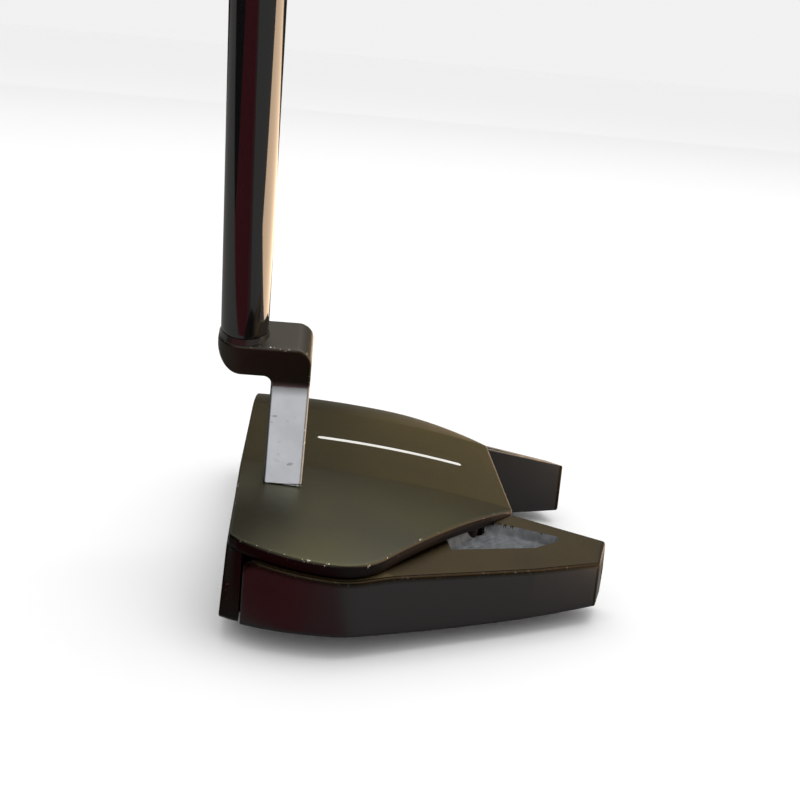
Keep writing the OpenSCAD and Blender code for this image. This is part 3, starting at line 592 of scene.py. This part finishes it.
def wing(name, side, node):
    """Closed sections across the wing, carried from the face to the tip: sole, lower edge, side, ridge, top with its
    cast pocket, and inner wall."""
    # the sections crowd where the inner wall steps, at the ridge's end and at the tip, whose edge is rounded by r_tip
    ys = np.concatenate([[WING_FRONT, 4.32, 4.4, 4.6], np.linspace(5, 8.18, 9), [8.2, 8.22],
                         np.linspace(8.5, 15.19, 22), [15.2], np.linspace(15.6, 17.2, 5),
                         np.linspace(17.5, RIDGE_LEN - 0.01, 48), [RIDGE_LEN + 0.01], np.linspace(34.3, 76.0, 118)])
    r_tip, quarter = 0.45, np.radians(np.linspace(0, 90, 6))
    y = np.concatenate([ys, WING_LEN - r_tip + r_tip * np.sin(quarter)])
    shrink = np.concatenate([[0.2, 0.1, 0.03, 0.0], np.zeros(len(ys) - 4), r_tip * (1 - np.cos(quarter))])
    inner = np.interp(y, [WING_FRONT, 8.2, 8.215, 15.2, 17.2, 30, 48, PLATE_LEN, WING_LEN],
                      [46.1, 46.1, 37, 37, 27.5, 26.6, 23.2, 22.3, GAP_TIP]) + shrink
    outer = wing_outer(y) - shrink
    split = np.clip(plate_half(y) + SEAM, inner + 0.05, outer - 0.02)
    split = np.where(y > PLATE_LEN + SEAM, inner + 0.1, split)
    K1, K2, r = 100, 50, 0.42
    w = 1 - np.linspace(0, 1, K1)
    out_x = split[:, None] + (outer - r - split)[:, None] * w[None, :]
    in_x = (split - 0.02)[:, None] + (inner + 0.12 - split + 0.02)[:, None] * np.linspace(0, 1, K2)[None, :]
    top_x = np.concatenate([out_x, in_x], 1)
    # the tip's edge runs back from its outer corner to its inner one
    raked = TIP_RAKE * np.clip((y[:, None] - 60) / 16.6, 0, 1)
    y_of = lambda x: y[:, None] - raked * np.clip((x - inner[:, None]) / (outer - inner)[:, None], 0, 1)
    top_y = y_of(top_x)
    under = np.concatenate([np.zeros_like(out_x), np.ones_like(in_x)], 1).astype(bool) & (top_y < PLATE_LEN + SEAM)
    along_edge = np.array([-math.sin(SIDE_ANGLE), math.cos(SIDE_ANGLE)])
    relief = WING_SCREWS[0] - 0.5 * EDGE_OUT + 2.0 * along_edge
    tx, ty = snapped(top_x, top_y, [(relief[0], relief[1], RELIEF_R, 0.16)])
    tx, ty = onto_rim(tx, ty, POCKET, 0.19)
    r_front = 3.2
    corner = r_front * (1 - np.sqrt(1 - np.clip(1 - (y - WING_FRONT) / r_front, 0, 1) ** 2))[:, None]
    top_z = wing_top(tx, ty, under) - shrink[:, None] - corner * 0.8
    pocket = inside_by(tx, ty, POCKET)
    rough = 0.05 * np.sin(2.9 * tx + 1.7 * ty) * np.sin(2.3 * ty - 1.1 * tx)
    rough = rough + 0.04 * np.sin(5.1 * tx) * np.sin(4.7 * ty)
    wall = np.clip(pocket / POCKET_SLOPE, 0, 1)
    plane = WING_Z - SLOPE_OUT * tx - SLOPE_BACK * ty
    top_z = np.where(pocket > 0, np.minimum(top_z, plane - POCKET_DEPTH * wall + rough * wall ** 4), top_z)
    hole = np.hypot(tx - relief[0], ty - relief[1]) < RELIEF_R - 0.01
    top_z = np.where(hole, np.minimum(top_z, crown_z(relief[0], relief[1]) - PLATE_T - 4.5), top_z)
    top = np.stack([tx, ty, top_z], -1)

    ang = np.radians(np.linspace(0, 90, 7))
    ridge_z = wing_top(outer[:, None], y_of(outer[:, None]), np.zeros((len(y), 1), bool))
    ridge_z = ridge_z - shrink[:, None] - corner * 0.8
    rx = outer[:, None] - r + r * np.cos(ang)[None, :]
    ridge = np.stack([rx, y_of(rx), ridge_z - r * (1 - np.sin(ang))[None, :]], -1)
    low_r = 0.8
    lx = outer[:, None] - low_r + low_r * np.cos(ang)[::-1][None, :]
    bottom_y = y_of(outer[:, None])
    low_z = sole_z(outer, bottom_y[:, 0])[:, None] + shrink[:, None]
    lower = np.stack([lx, y_of(lx), low_z + low_r * (1 - np.sin(ang[::-1]))[None, :]], -1)
    rows = np.linspace(0, 1, 12)[1:-1]
    side_z = (low_z + low_r) + (ridge_z - r - low_z - low_r) * rows[None, :]
    side_x = np.repeat(outer[:, None], len(rows), 1)
    flank = np.stack([side_x, y_of(side_x), side_z], -1)
    K = K1 + K2
    v = np.linspace(0, 1, K)[None, :]
    bx = (inner + 0.1)[:, None] + (outer - low_r - inner - 0.1)[:, None] * v
    by = y_of(bx)
    port = (WEIGHT_AT[0], WEIGHT_AT[1], PORT_R, 0.17)
    bx, by = snapped(bx, by, [port] + [(s[0], s[1], SCREW_BORE_R, 0.17) for s in WING_SCREWS])
    bz = sole_z(bx, by) + shrink[:, None]
    bz = np.where(np.hypot(bx - port[0], by - port[1]) < PORT_R - 0.01, WEIGHT_SEAT + RING_T, bz)
    for s in WING_SCREWS:
        bz = np.where(np.hypot(bx - s[0], by - s[1]) < SCREW_BORE_R - 0.01, float(sole_z(*s)) + 2.4, bz)
    bottom = np.stack([bx, by, bz], -1)
    in_rows = np.linspace(0, 1, 9)[None, :]
    in_top = top_z[:, -1:] - 0.12
    in_low = bz[:, :1] + 0.12
    wall_x = np.repeat(inner[:, None], 9, 1)
    inner_wall = np.stack([wall_x, y_of(wall_x), in_top + (in_low - in_top) * in_rows], -1)
    section = np.concatenate([bottom, lower, flank, ridge, top, inner_wall], 1)
    # the ridge's rounding and the tip's rounded end are painted dark through the edge field: painted shade that holds
    # back their highlight
    edge_wear_and_shade = np.zeros(section.shape[:2])
    a = K + 7 + len(rows)
    edge_wear_and_shade[:, a:a + 7] = 1
    edge_wear_and_shade[-7:, K:] = 1
    # shade: the sides, the inner wall, the sole and the front end take the grey second tone, the top the warmer first
    # tone, and the ridge's rounding blends between them: painted light
    dark = np.ones(section.shape[:2])
    dark[:, a:a + 7] = np.linspace(1, 0, 7)
    dark[:, a + 7:a + 7 + K] = 0
    dark[:8] = 1
    caps = []
    for k in (0, -1):
        mid = section[k].copy()
        mid[:, 2] = (section[k][:, 2].min() + section[k][:, 2].max()) / 2
        mid[:, 0] = np.clip(mid[:, 0], inner[k] + 0.5, outer[k] - 0.5)
        caps.append(mid[None])
    rings = np.concatenate([caps[0], section, caps[1]])
    edge_wear_and_shade = np.concatenate([edge_wear_and_shade[:1] * 0, edge_wear_and_shade, edge_wear_and_shade[-1:] * 0])
    dark = np.concatenate([dark[:1], dark, dark[-1:]])
    o = piece(name, rings * [side, 1, 1], wing_finish, edge_wear_and_shade, dark, stands_for=(node,), sharp=28)
    o.data.materials.append(cast_finish)
    centre = np.zeros(len(o.data.polygons) * 3)
    o.data.polygons.foreach_get("center", centre)
    c = centre.reshape(-1, 3) / MM
    x, yy = np.abs(c[:, 0]), c[:, 1] + LAND_Y
    sunk = (c[:, 2] > 8) & (c[:, 2] < WING_Z - SLOPE_OUT * x - SLOPE_BACK * yy - 0.1)
    o.data.polygons.foreach_set("material_index", ((inside_by(x, yy, POCKET) > 0.05) & sunk).astype(np.int32))


def bosses():
    """Turned bosses under the plate for the wing screws, and the block that takes the neck's screws: each a profile
    carried up an axis."""
    under_plate = WING_SCREWS - 1.0 * EDGE_OUT
    for k, (x, y) in enumerate(np.vstack([under_plate, under_plate * [-1, 1]])):
        top = float(crown_z(abs(x), y)) - PLATE_T
        rows = [(2.1, top - 5.0), (2.3, top - 5.3), (2.7, top - 5.3), (2.9, top - 5.1), (2.9, top), (2.1, top),
                (2.1, top - 5.0)]
        rings = turned(rows, 48, np.array([x, y, 0.0]), np.array([0, 0, 1.0]), np.array([1.0, 0, 0]))
        # the bosses are painted all over in the plate's darker second tone: painted shade under the plate
        piece(f"screw_boss_{k + 1}", rings, plate_finish, 0.0, 1.0)
    low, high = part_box("hosel_screws")
    x0, x1 = low.x / MM - 1.8, high.x / MM + 1.8
    # its front corners turn about a line behind the insert and its tape
    y0, y1 = 7.6, 13.2
    loop = along(np.vstack([arc(x1 - 1, y0, 1, -90, 0, 6), arc(x1 - 1, y1, 1, 0, 90, 6),
                            arc(x0 + 1, y1, 1, 90, 180, 6), arc(x0 + 1, y0, 1, 180, 270, 6)]), 80, 1)
    centre = loop.mean(0)
    rows = [(0.0, 9.5), (0.96, 9.5), (0.99, 9.6), (1.0, 9.9), (1.0, 21.0), (0.0, 21.0)]
    rings = [np.column_stack([centre + (loop - centre) * k, np.full(len(loop), z)]) for k, z in rows]
    # the block is painted all over in the darker second tone too: painted shade under the plate
    piece("neck_boss", rings, plate_finish, 0.0, 1.0)


# ---- neck ------------------------------------------------------------------------------------------------
def neck():
    """An L-shaped outline seen from the heel, carried across from the heel face to the toe face; both faces follow
    the shaft's slant and then the post's lean."""
    foot_z = float(crown_z(FOOT_X, 10.0)) - 0.8
    h = CRANK_HALF
    top_h = TIP + h * AXIS_SIDE - (CRANK_T + 2) * AXIS_UP
    lean = math.atan2(FOOT_X - top_h[0], top_h[2] - foot_z)
    wide = POST_T / math.cos(lean)
    t_end = CRANK_T + 2 + math.hypot(FOOT_X - top_h[0], top_h[2] - foot_z)
    nose, reach = TIP_R + 0.4, POST_FRONT + POST_DEPTH - TIP[1] + 0.3
    front, back = POST_FRONT - TIP[1], POST_FRONT + POST_DEPTH - TIP[1]
    # outline in (distance behind the shaft, distance down); anticlockwise with down negated
    loop = np.vstack([
        arc(-nose + 4.8, -(CRANK_T - 4.8), 4.8, 180, 270, 20),
        [[front - 1.6, -CRANK_T]],
        arc(front - 1.6, -CRANK_T - 1.6, 1.6, 90, 0, 10),
        np.stack([np.full(30, front), np.linspace(-CRANK_T - 2.2, -t_end + 0.5, 30)], 1),
        arc(front + 0.4, -t_end + 0.4, 0.4, 180, 270, 5),
        arc(back - 0.4, -t_end + 0.4, 0.4, 270, 360, 5),
        np.stack([np.linspace(back, reach, 30), np.linspace(-t_end + 0.6, -CRANK_T, 30)], 1),
        arc(reach - 3.2, -BEAD_H - 3.2, 3.2, 0, 90, 16),
        [[-nose + 0.9, -BEAD_H]],
        arc(-nose + 0.6, -BEAD_H - 0.6, 0.6, 90, 180, 6)])
    loop = along(loop, 520, 5.0)
    n = outward(loop)
    # spine of the L: along the crank, then down the post; round the inner corner the targets travel evenly through
    # the bend
    mid_t, mid_y = (BEAD_H + CRANK_T) / 2 + 0.3, (front + back) / 2
    down_by = -loop[:, 1]
    ahead = np.minimum(loop[:, 0], mid_y)
    by_crank = (down_by > CRANK_T - 0.05) & (loop[:, 0] < front + 0.05) & (loop[:, 0] > -1)
    inner_side = by_crank | ((down_by > CRANK_T) & (loop[:, 0] < mid_y))
    turn = (down_by - CRANK_T) - np.maximum(front - loop[:, 0], 0)
    spine_y = np.where(inner_side, np.interp(turn, [-60, -3, 0], [front - 60, front - 3, mid_y]), ahead)
    spine_y = np.clip(spine_y, -nose + 2.6, mid_y)
    spine_t = np.where(inner_side, np.interp(turn, [0, 6, 60], [mid_t, CRANK_T + 6, CRANK_T + 60]),
                       np.maximum(down_by, mid_t))
    low_edge = ~inner_side & (loop[:, 0] < mid_y - 0.5)
    spine_t = np.where(low_edge, mid_t, spine_t)
    run = spine_y + np.clip(spine_t, mid_t, t_end - 2.5) - mid_t
    # both sides of the outline fold onto the same stops along the spine, so the seam closes
    stops = np.concatenate([np.linspace(run.min(), mid_y, 19), np.linspace(mid_y, run.max(), 38)[1:]])
    run = stops[np.abs(run[:, None] - stops).argmin(1)]
    spine = np.stack([np.minimum(run, mid_y), -mid_t - np.maximum(run - mid_y, 0)], 1)

    grid = np.linspace(0, t_end + 2, 600)
    crank_h = TIP[None, :] + h * AXIS_SIDE - grid[:, None] * AXIS_UP
    foot_h = np.array([FOOT_X, 0, foot_z])
    down = (foot_h - top_h)
    down[1] = 0
    down = down / np.linalg.norm(down)
    post_h = top_h + (grid[:, None] - CRANK_T - 2) * down
    heel = np.where((grid < CRANK_T + 2)[:, None], crank_h, post_h)
    t_turn = CRANK_T - 1.8
    crank_toe = TIP[None, :] - h * AXIS_SIDE - grid[:, None] * AXIS_UP
    start = TIP - h * AXIS_SIDE - t_turn * AXIS_UP
    end = np.array([FOOT_X - wide, 0, foot_z])
    share = np.clip((grid - t_turn) / (t_end - t_turn), 0, None)
    toe = np.where((grid < t_turn)[:, None], crank_toe, start + (end - start) * share[:, None])
    kernel = np.ones(15) / 15
    padded = lambda v: np.pad(v, 7, mode="reflect", reflect_type="odd")
    smooth = lambda a: np.stack([np.convolve(padded(a[:, k]), kernel, "valid") for k in range(3)], 1)
    heel, toe = smooth(heel), smooth(toe)

    def place(p, q):
        t = -p[:, 1]
        hx = np.stack([np.interp(t, grid, heel[:, k]) for k in (0, 2)], 1)
        tx = np.stack([np.interp(t, grid, toe[:, k]) for k in (0, 2)], 1)
        # the nose is a half cylinder about the shaft's axis
        y = np.clip(-p[:, 0], 0, h - 0.05)
        narrow = (1 - np.sqrt(1 - (y / h) ** 2)) / 2 * (t < CRANK_T + 0.5)
        # the foot is relieved just above the plate, which leaves a thin dark line there
        narrow = narrow + 0.045 * np.clip((t - t_end + 1.35) / 0.25, 0, 1)
        a = (narrow + (1 - 2 * narrow) * q)[:, None]
        xz = hx + (tx - hx) * a
        return np.column_stack([xz[:, 0], p[:, 0] + TIP[1], xz[:, 1]])

    r, wide_mm = 0.5, 9.0
    flat = lambda s: spine + (loop - n * r - spine) * s
    curved = lambda a: loop - n * r * (1 - math.sin(a))
    sunk = lambda a: r * (1 - math.cos(a)) / wide_mm
    turns = [math.radians(a) for a in np.linspace(0, 90, 7)[1:]]
    back_turns = [math.radians(a) for a in np.linspace(90, 0, 7)[:-1]]
    straight = np.linspace(r / wide_mm, 1 - r / wide_mm, 16)[1:-1]
    rings = [place(flat(s), 0.0) for s in np.linspace(0, 1, 26)] + [place(curved(a), sunk(a)) for a in turns]
    rings += [place(loop, q) for q in straight]
    rings += [place(curved(a), 1 - sunk(a)) for a in back_turns] + [place(flat(s), 1.0) for s in np.linspace(1, 0, 26)]
    edge = [0.0] * 26 + [1.0] * len(turns) + [0.0] * len(straight) + [1.0] * len(turns) + [0.0] * 26
    rings = np.array(rings)
    # shade: the crank keeps the dark second tone, and below the bend the post fades to the pale first tone, painted
    # reflected light
    t = -((rings - TIP) @ AXIS_UP)
    shade = 1 - np.clip((t - CRANK_T - 0.6) / 2.6, 0, 1) ** 1.5
    # the post's narrow front and back and the rounded edges are painted most of the way to the dark tone: painted
    # shade that holds back the rear softbox's highlight
    across = np.arange(len(edge))[:, None]
    strip = np.array(edge)[:, None] * 0.7 + (across > 32) * (across < 46)
    shade = np.maximum(shade, np.clip(strip, 0, 0.85))
    piece("crank_neck", rings, neck_finish, np.array(edge)[:, None], shade, stands_for=("hosel",),
          sharp=40)


def turned(profile, count, axis_at, up, out):
    """A profile of (radius, height) pairs spun about an axis, as rings of points."""
    a = np.linspace(0, 2 * np.pi, count, endpoint=False)
    across = np.cross(up, out)
    p = np.asarray(profile, float)
    ring = np.cos(a)[:, None] * out + np.sin(a)[:, None] * across
    return axis_at + p[:, None, 1:2] * up + p[:, None, 0:1] * ring[None]


def shaft():
    """Tapered tube: its radius grows evenly with its length; its tip end is rounded over."""
    end = BUTT - CAP_T
    z = np.concatenate([[0.0, 0.05, 0.15, 0.3], np.linspace(1, end - 0.5, 60), [end]])
    r = TIP_R + SHAFT_TAPER * z
    r[:3] -= [0.3, 0.15, 0.05]
    profile = np.column_stack([r, z])
    inner = np.array([[TIP_R + SHAFT_TAPER * end - SHAFT_WALL, end], [TIP_R - SHAFT_WALL, 0.0], [TIP_R - 0.3, 0.0]])
    rings = turned(np.vstack([profile, inner]), 160, TIP, AXIS_UP, AXIS_SIDE)
    piece("shaft_tube", rings, shaft_finish, stands_for=("shaft",))


def grip():
    """Tapered grip of round section with a flat for the thumbs: radius grows up the grip, and its upper side is cut
    flat and blended."""
    start = BUTT - GRIP_LEN
    z = np.concatenate([[0, 0, 0.1, 0.4, 1.0], np.linspace(2.5, GRIP_LEN - CAP_T - 0.3, 120), [GRIP_LEN - CAP_T]])
    share = z / GRIP_LEN
    radius = GRIP_LOW + (GRIP_TOP - GRIP_LOW) * share
    radius[:4] = [TIP_R + SHAFT_TAPER * start + 0.55, GRIP_LOW - 1.2, GRIP_LOW - 0.6, GRIP_LOW - 0.2]
    flat = (0.78 + 0.02 * share) * radius
    a = np.linspace(0, 2 * np.pi, 144, endpoint=False)
    # angle zero faces up from the leaning shaft; the flat is a chord blended with a smooth minimum
    c = np.cos(a)[None, :] * radius[:, None]
    s = np.sin(a)[None, :] * radius[:, None]
    k = 0.5
    chord = -np.log(np.exp(-c / k) + np.exp(-flat[:, None] / k)) * k
    across = np.array([0, 1.0, 0])
    rings = TIP + (start + z)[:, None, None] * AXIS_UP - chord[..., None] * AXIS_SIDE + s[..., None] * across
    body = piece("grip_skin_moulding", rings, grip_finish, stands_for=("grip_skin",))
    # rows of pores: U counts cells around, V counts cells along
    mesh = body.data
    uv = mesh.uv_layers.new(name="pores")
    co = np.zeros(len(mesh.vertices) * 3)
    mesh.vertices.foreach_get("co", co)
    rel = co.reshape(-1, 3) / MM + [0, LAND_Y, 0] - TIP
    v = rel @ AXIS_UP
    around = np.arctan2(rel[:, 1], -(rel @ AXIS_SIDE))
    loops = np.zeros(len(mesh.loops), np.int64)
    mesh.loops.foreach_get("vertex_index", loops)
    # a quad that spans the turn's end is carried past it, so that its pores stay whole
    angle = around[loops].reshape(-1, 4)
    jump = (angle.max(1) - angle.min(1)) > np.pi
    angle = np.where(jump[:, None] & (angle < 0), angle + 2 * np.pi, angle).ravel()
    uv.data.foreach_set("uv", np.column_stack([angle / (2 * np.pi) * 40, v[loops] / 1.9]).ravel().astype(np.float32))


def weight(name, side, body, node):
    """Turned disc with a hexagon socket, a ring groove and a threaded shank: rings from the socket's floor out over
    the head and down the thread."""
    m = 144
    a = np.linspace(0, 2 * np.pi, m, endpoint=False)
    hexed = 2.9 * math.cos(math.pi / 6) / np.cos((a + np.pi / 6) % (np.pi / 3) - np.pi / 6)
    z0 = -WEIGHT_T
    # radius, height above the seat, and 1 where the radius is a share of the hexagon's
    rows = [(0.0, z0 + 3.0, 0), (1.0, z0 + 3.0, 1), (1.0, z0 + 0.3, 1), (1.07, z0, 1), (3.9, z0, 0),
            (4.3, z0 + 0.02, 0), (4.4, z0 + 0.1, 0), (4.42, z0 + 0.5, 0), (6.38, z0 + 0.5, 0), (6.4, z0 + 0.1, 0),
            (6.5, z0, 0), (7.5, z0, 0), (7.8, z0 + 0.1, 0), (7.95, z0 + 0.3, 0), (WEIGHT_R, z0 + 0.6, 0),
            (WEIGHT_R, -0.25, 0), (7.75, 0, 0), (THREAD_R, 0, 0), (THREAD_R, RING_T, 0)]
    rings = []
    for r, z, hexagon in rows:
        rad = hexed * r if hexagon else np.full(m, r)
        rings.append(np.stack([rad * np.cos(a), rad * np.sin(a), np.full(m, z)], 1))
    # thread: a helix of pitch 1 mm, its depth a triangle wave of height minus angle
    for z in np.linspace(1.0, 7.2, 46):
        phase = (z - a / (2 * np.pi)) % 1.0
        rad = THREAD_R - 0.5 * np.abs(2 * phase - 1) * min(1, (THREAD_END - z) / 0.6)
        rings.append(np.stack([rad * np.cos(a), rad * np.sin(a), np.full(m, z)], 1))
    rings.append(np.stack([3.2 * np.cos(a), 3.2 * np.sin(a), np.full(m, THREAD_END)], 1))
    rings.append(np.zeros((m, 3)) + [0, 0, THREAD_END])
    rings = (np.array(rings) + [WEIGHT_AT[0], WEIGHT_AT[1], WEIGHT_SEAT]) * [side, 1, 1]
    edge = np.array([1.0 if i in (2, 3, 9, 10, 11, 12, 13) else 0.0 for i in range(len(rings))])[:, None]
    piece(name, rings, weight_finish, edge, body=body, stands_for=(node,))


top_plate()
sight_line()
face_wall()
face_slabs()
wing("wing_heel", 1, "heel_wing")
wing("wing_toe", -1, "toe_wing")
bosses()
neck()
shaft()
grip()
weight("weight_heel", 1, "heel_screw_weight", "heel_weight")
weight("weight_toe", -1, "toe_screw_weight", "toe_weight")

KEPT = {
    "sole_plate": sole_finish, "core_filler": foam_finish, "insert_tape": tape_finish,
    "heel_wing_screws": screw_finish, "toe_wing_screws": screw_finish, "sole_screws": screw_finish,
    "heel_weight_ring": seal_finish, "toe_weight_ring": seal_finish, "hosel_screws": screw_finish,
    "shaft_epoxy": epoxy_finish, "grip_tape": tape_finish, "grip_core": foam_finish, "grip_cap": cap_finish,
}
for node, finish in KEPT.items():
    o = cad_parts[node]
    for k in range(len(o.material_slots)):
        o.material_slots[k].material = finish


# ---- floor, light and camera -----------------------------------------------------------------------------
def lying(*flat, z=-0.0002):
    """Corners of a four-sided sheet that lies just under the ground, in metres."""
    return [(x, y, z) for x, y in zip(flat[::2], flat[1::2])]


def standing(x0, y0, x1, y1, low, high):
    """Corners of a rectangle that stands on the line between two points."""
    return [(x0, y0, low), (x1, y1, low), (x1, y1, high), (x0, y0, high)]


def sheet(name, corners, material):
    mesh = bpy.data.meshes.new(name)
    mesh.from_pydata(corners, [], [(0, 1, 2, 3)])
    mesh.materials.append(material)
    o = bpy.data.objects.new(name, mesh)
    bpy.context.scene.collection.objects.link(o)
    return o


def floor():
    """Pale studio floor, so wide that it meets the pale surround without a line."""
    m = bpy.data.materials.new("matt_white_paper")
    m.use_nodes = True
    t = m.node_tree
    bsdf = next(n for n in t.nodes if n.type == "BSDF_PRINCIPLED")
    bsdf.inputs["Base Color"].default_value = colour("#fdfdfd")
    bsdf.inputs["Roughness"].default_value = 1.0
    sheet("floor", lying(-25, -25, 25, -25, 25, 25, -25, 25, z=-0.0006), m)


def light(name, place, target, size, watts, tint, size_y=None, mirror_only=False):
    lamp = bpy.data.lights.new(name, "AREA")
    lamp.shape = "RECTANGLE"
    lamp.size = size
    lamp.size_y = size_y or size
    lamp.energy = watts
    lamp.color = colour(tint)[:3]
    o = bpy.data.objects.new(name, lamp)
    o.visible_diffuse = not mirror_only
    o.location = place
    o.rotation_mode = "QUATERNION"
    o.rotation_quaternion = (Vector(target) - Vector(place)).to_track_quat("-Z", "Y")
    bpy.context.scene.collection.objects.link(o)


def card(name, corners, hexed, glow=0.0):
    """A card beside the set that only shows mirrored in glossy surfaces, as a studio's flags and warm cards do: it
    throws no light or shadow."""
    m = bpy.data.materials.new(name + "_card")
    m.use_nodes = True
    bsdf = next(n for n in m.node_tree.nodes if n.type == "BSDF_PRINCIPLED")
    bsdf.inputs["Base Color"].default_value = colour(hexed)
    bsdf.inputs["Roughness"].default_value = 1.0
    bsdf.inputs["Specular IOR Level"].default_value = 0.0
    bsdf.inputs["Emission Color"].default_value = colour(hexed)
    bsdf.inputs["Emission Strength"].default_value = glow
    o = sheet(name, corners, m)
    o.visible_camera = o.visible_diffuse = o.visible_shadow = o.visible_transmission = False


def studio():
    bpy.context.scene.view_settings.view_transform = "Standard"
    world = bpy.data.worlds.new("studio")
    bpy.context.scene.world = world
    world.use_nodes = True
    t = world.node_tree
    t.nodes["Background"].inputs["Color"].default_value = colour("#f7f7f7")
    t.nodes["Background"].inputs["Strength"].default_value = 0.95
    light("overhead_softbox", (-0.2, 0.3, 1.6), (0, 0, 0.02), 1.2, 8, "#ffffff")
    light("rear_softbox", (0.35, 1.35, 0.75), (0.03, 0, 0.4), 1.1, 14, "#ffd9b0", size_y=1.9, mirror_only=True)
    card("low_flag", lying(-2, -2, 2, -2, 2, 2, -2, 2, z=-0.0003), "#8c8c8a")
    card("low_maroon_flag", lying(0.06, -0.13, 0.5, -0.3, 0.5, -0.012, 0.06, -0.012), "#84303a")
    card("low_fading_flag", lying(0.06, -0.012, 0.5, -0.012, 0.5, 0.008, 0.06, 0.004), "#7c5458")
    card("low_black_flag", lying(-0.1, -0.9, 0.5, -0.9, 0.5, -0.3, 0.06, -0.13), "#202020")
    card("low_warm_card", lying(-0.7, 0.085, 0.055, 0.085, 0.055, 0.9, -0.7, 0.9), "#ffdcb8", 4.0)
    card("front_flag", standing(1.15, -0.9, -0.7, -1.1, 0.0, 1.8), "#161616")
    card("back_flag", standing(0.95, 1.05, 1.5, 0.2, 0.0, 1.8), "#211c16")
    card("toe_flag", standing(-1.2, -1.1, -1.2, 1.0, 0.0, 0.85), "#80755a")
    card("toe_low_flag", standing(-1.16, -1.1, -1.16, 1.0, 0.0, 0.24), "#3f3729")
    card("toe_gold_card", standing(-1.15, 0.1, -1.15, 0.6, 0.17, 0.22), "#ffdf9a", 0.9)


def camera():
    yaw, pitch, roll = (math.radians(v) for v in (-4.106, -14.118, 5.154))
    d = Vector((-math.cos(pitch) * math.cos(yaw), -math.cos(pitch) * math.sin(yaw), math.sin(pitch)))
    right = d.cross(Vector((0, 0, 1))).normalized()
    up = right.cross(d)
    r2, u2 = math.cos(roll) * right + math.sin(roll) * up, -math.sin(roll) * right + math.cos(roll) * up
    data = bpy.data.cameras.new("camera")
    data.sensor_width = 36.0
    data.lens = 1286.551 / 800 * 36
    data.shift_x = (400 - 395.093) / 800
    data.shift_y = -(400 - 378.256) / 800
    data.clip_start, data.clip_end = 0.01, 50
    cam = bpy.data.objects.new("camera", data)
    cam.matrix_world = Matrix(((r2.x, u2.x, -d.x, 0.269169), (r2.y, u2.y, -d.y, 0.013041 - LAND_Y * MM),
                               (r2.z, u2.z, -d.z, 0.106886), (0, 0, 0, 1)))
    bpy.context.scene.collection.objects.link(cam)
    bpy.context.scene.camera = cam


floor()
studio()
camera()
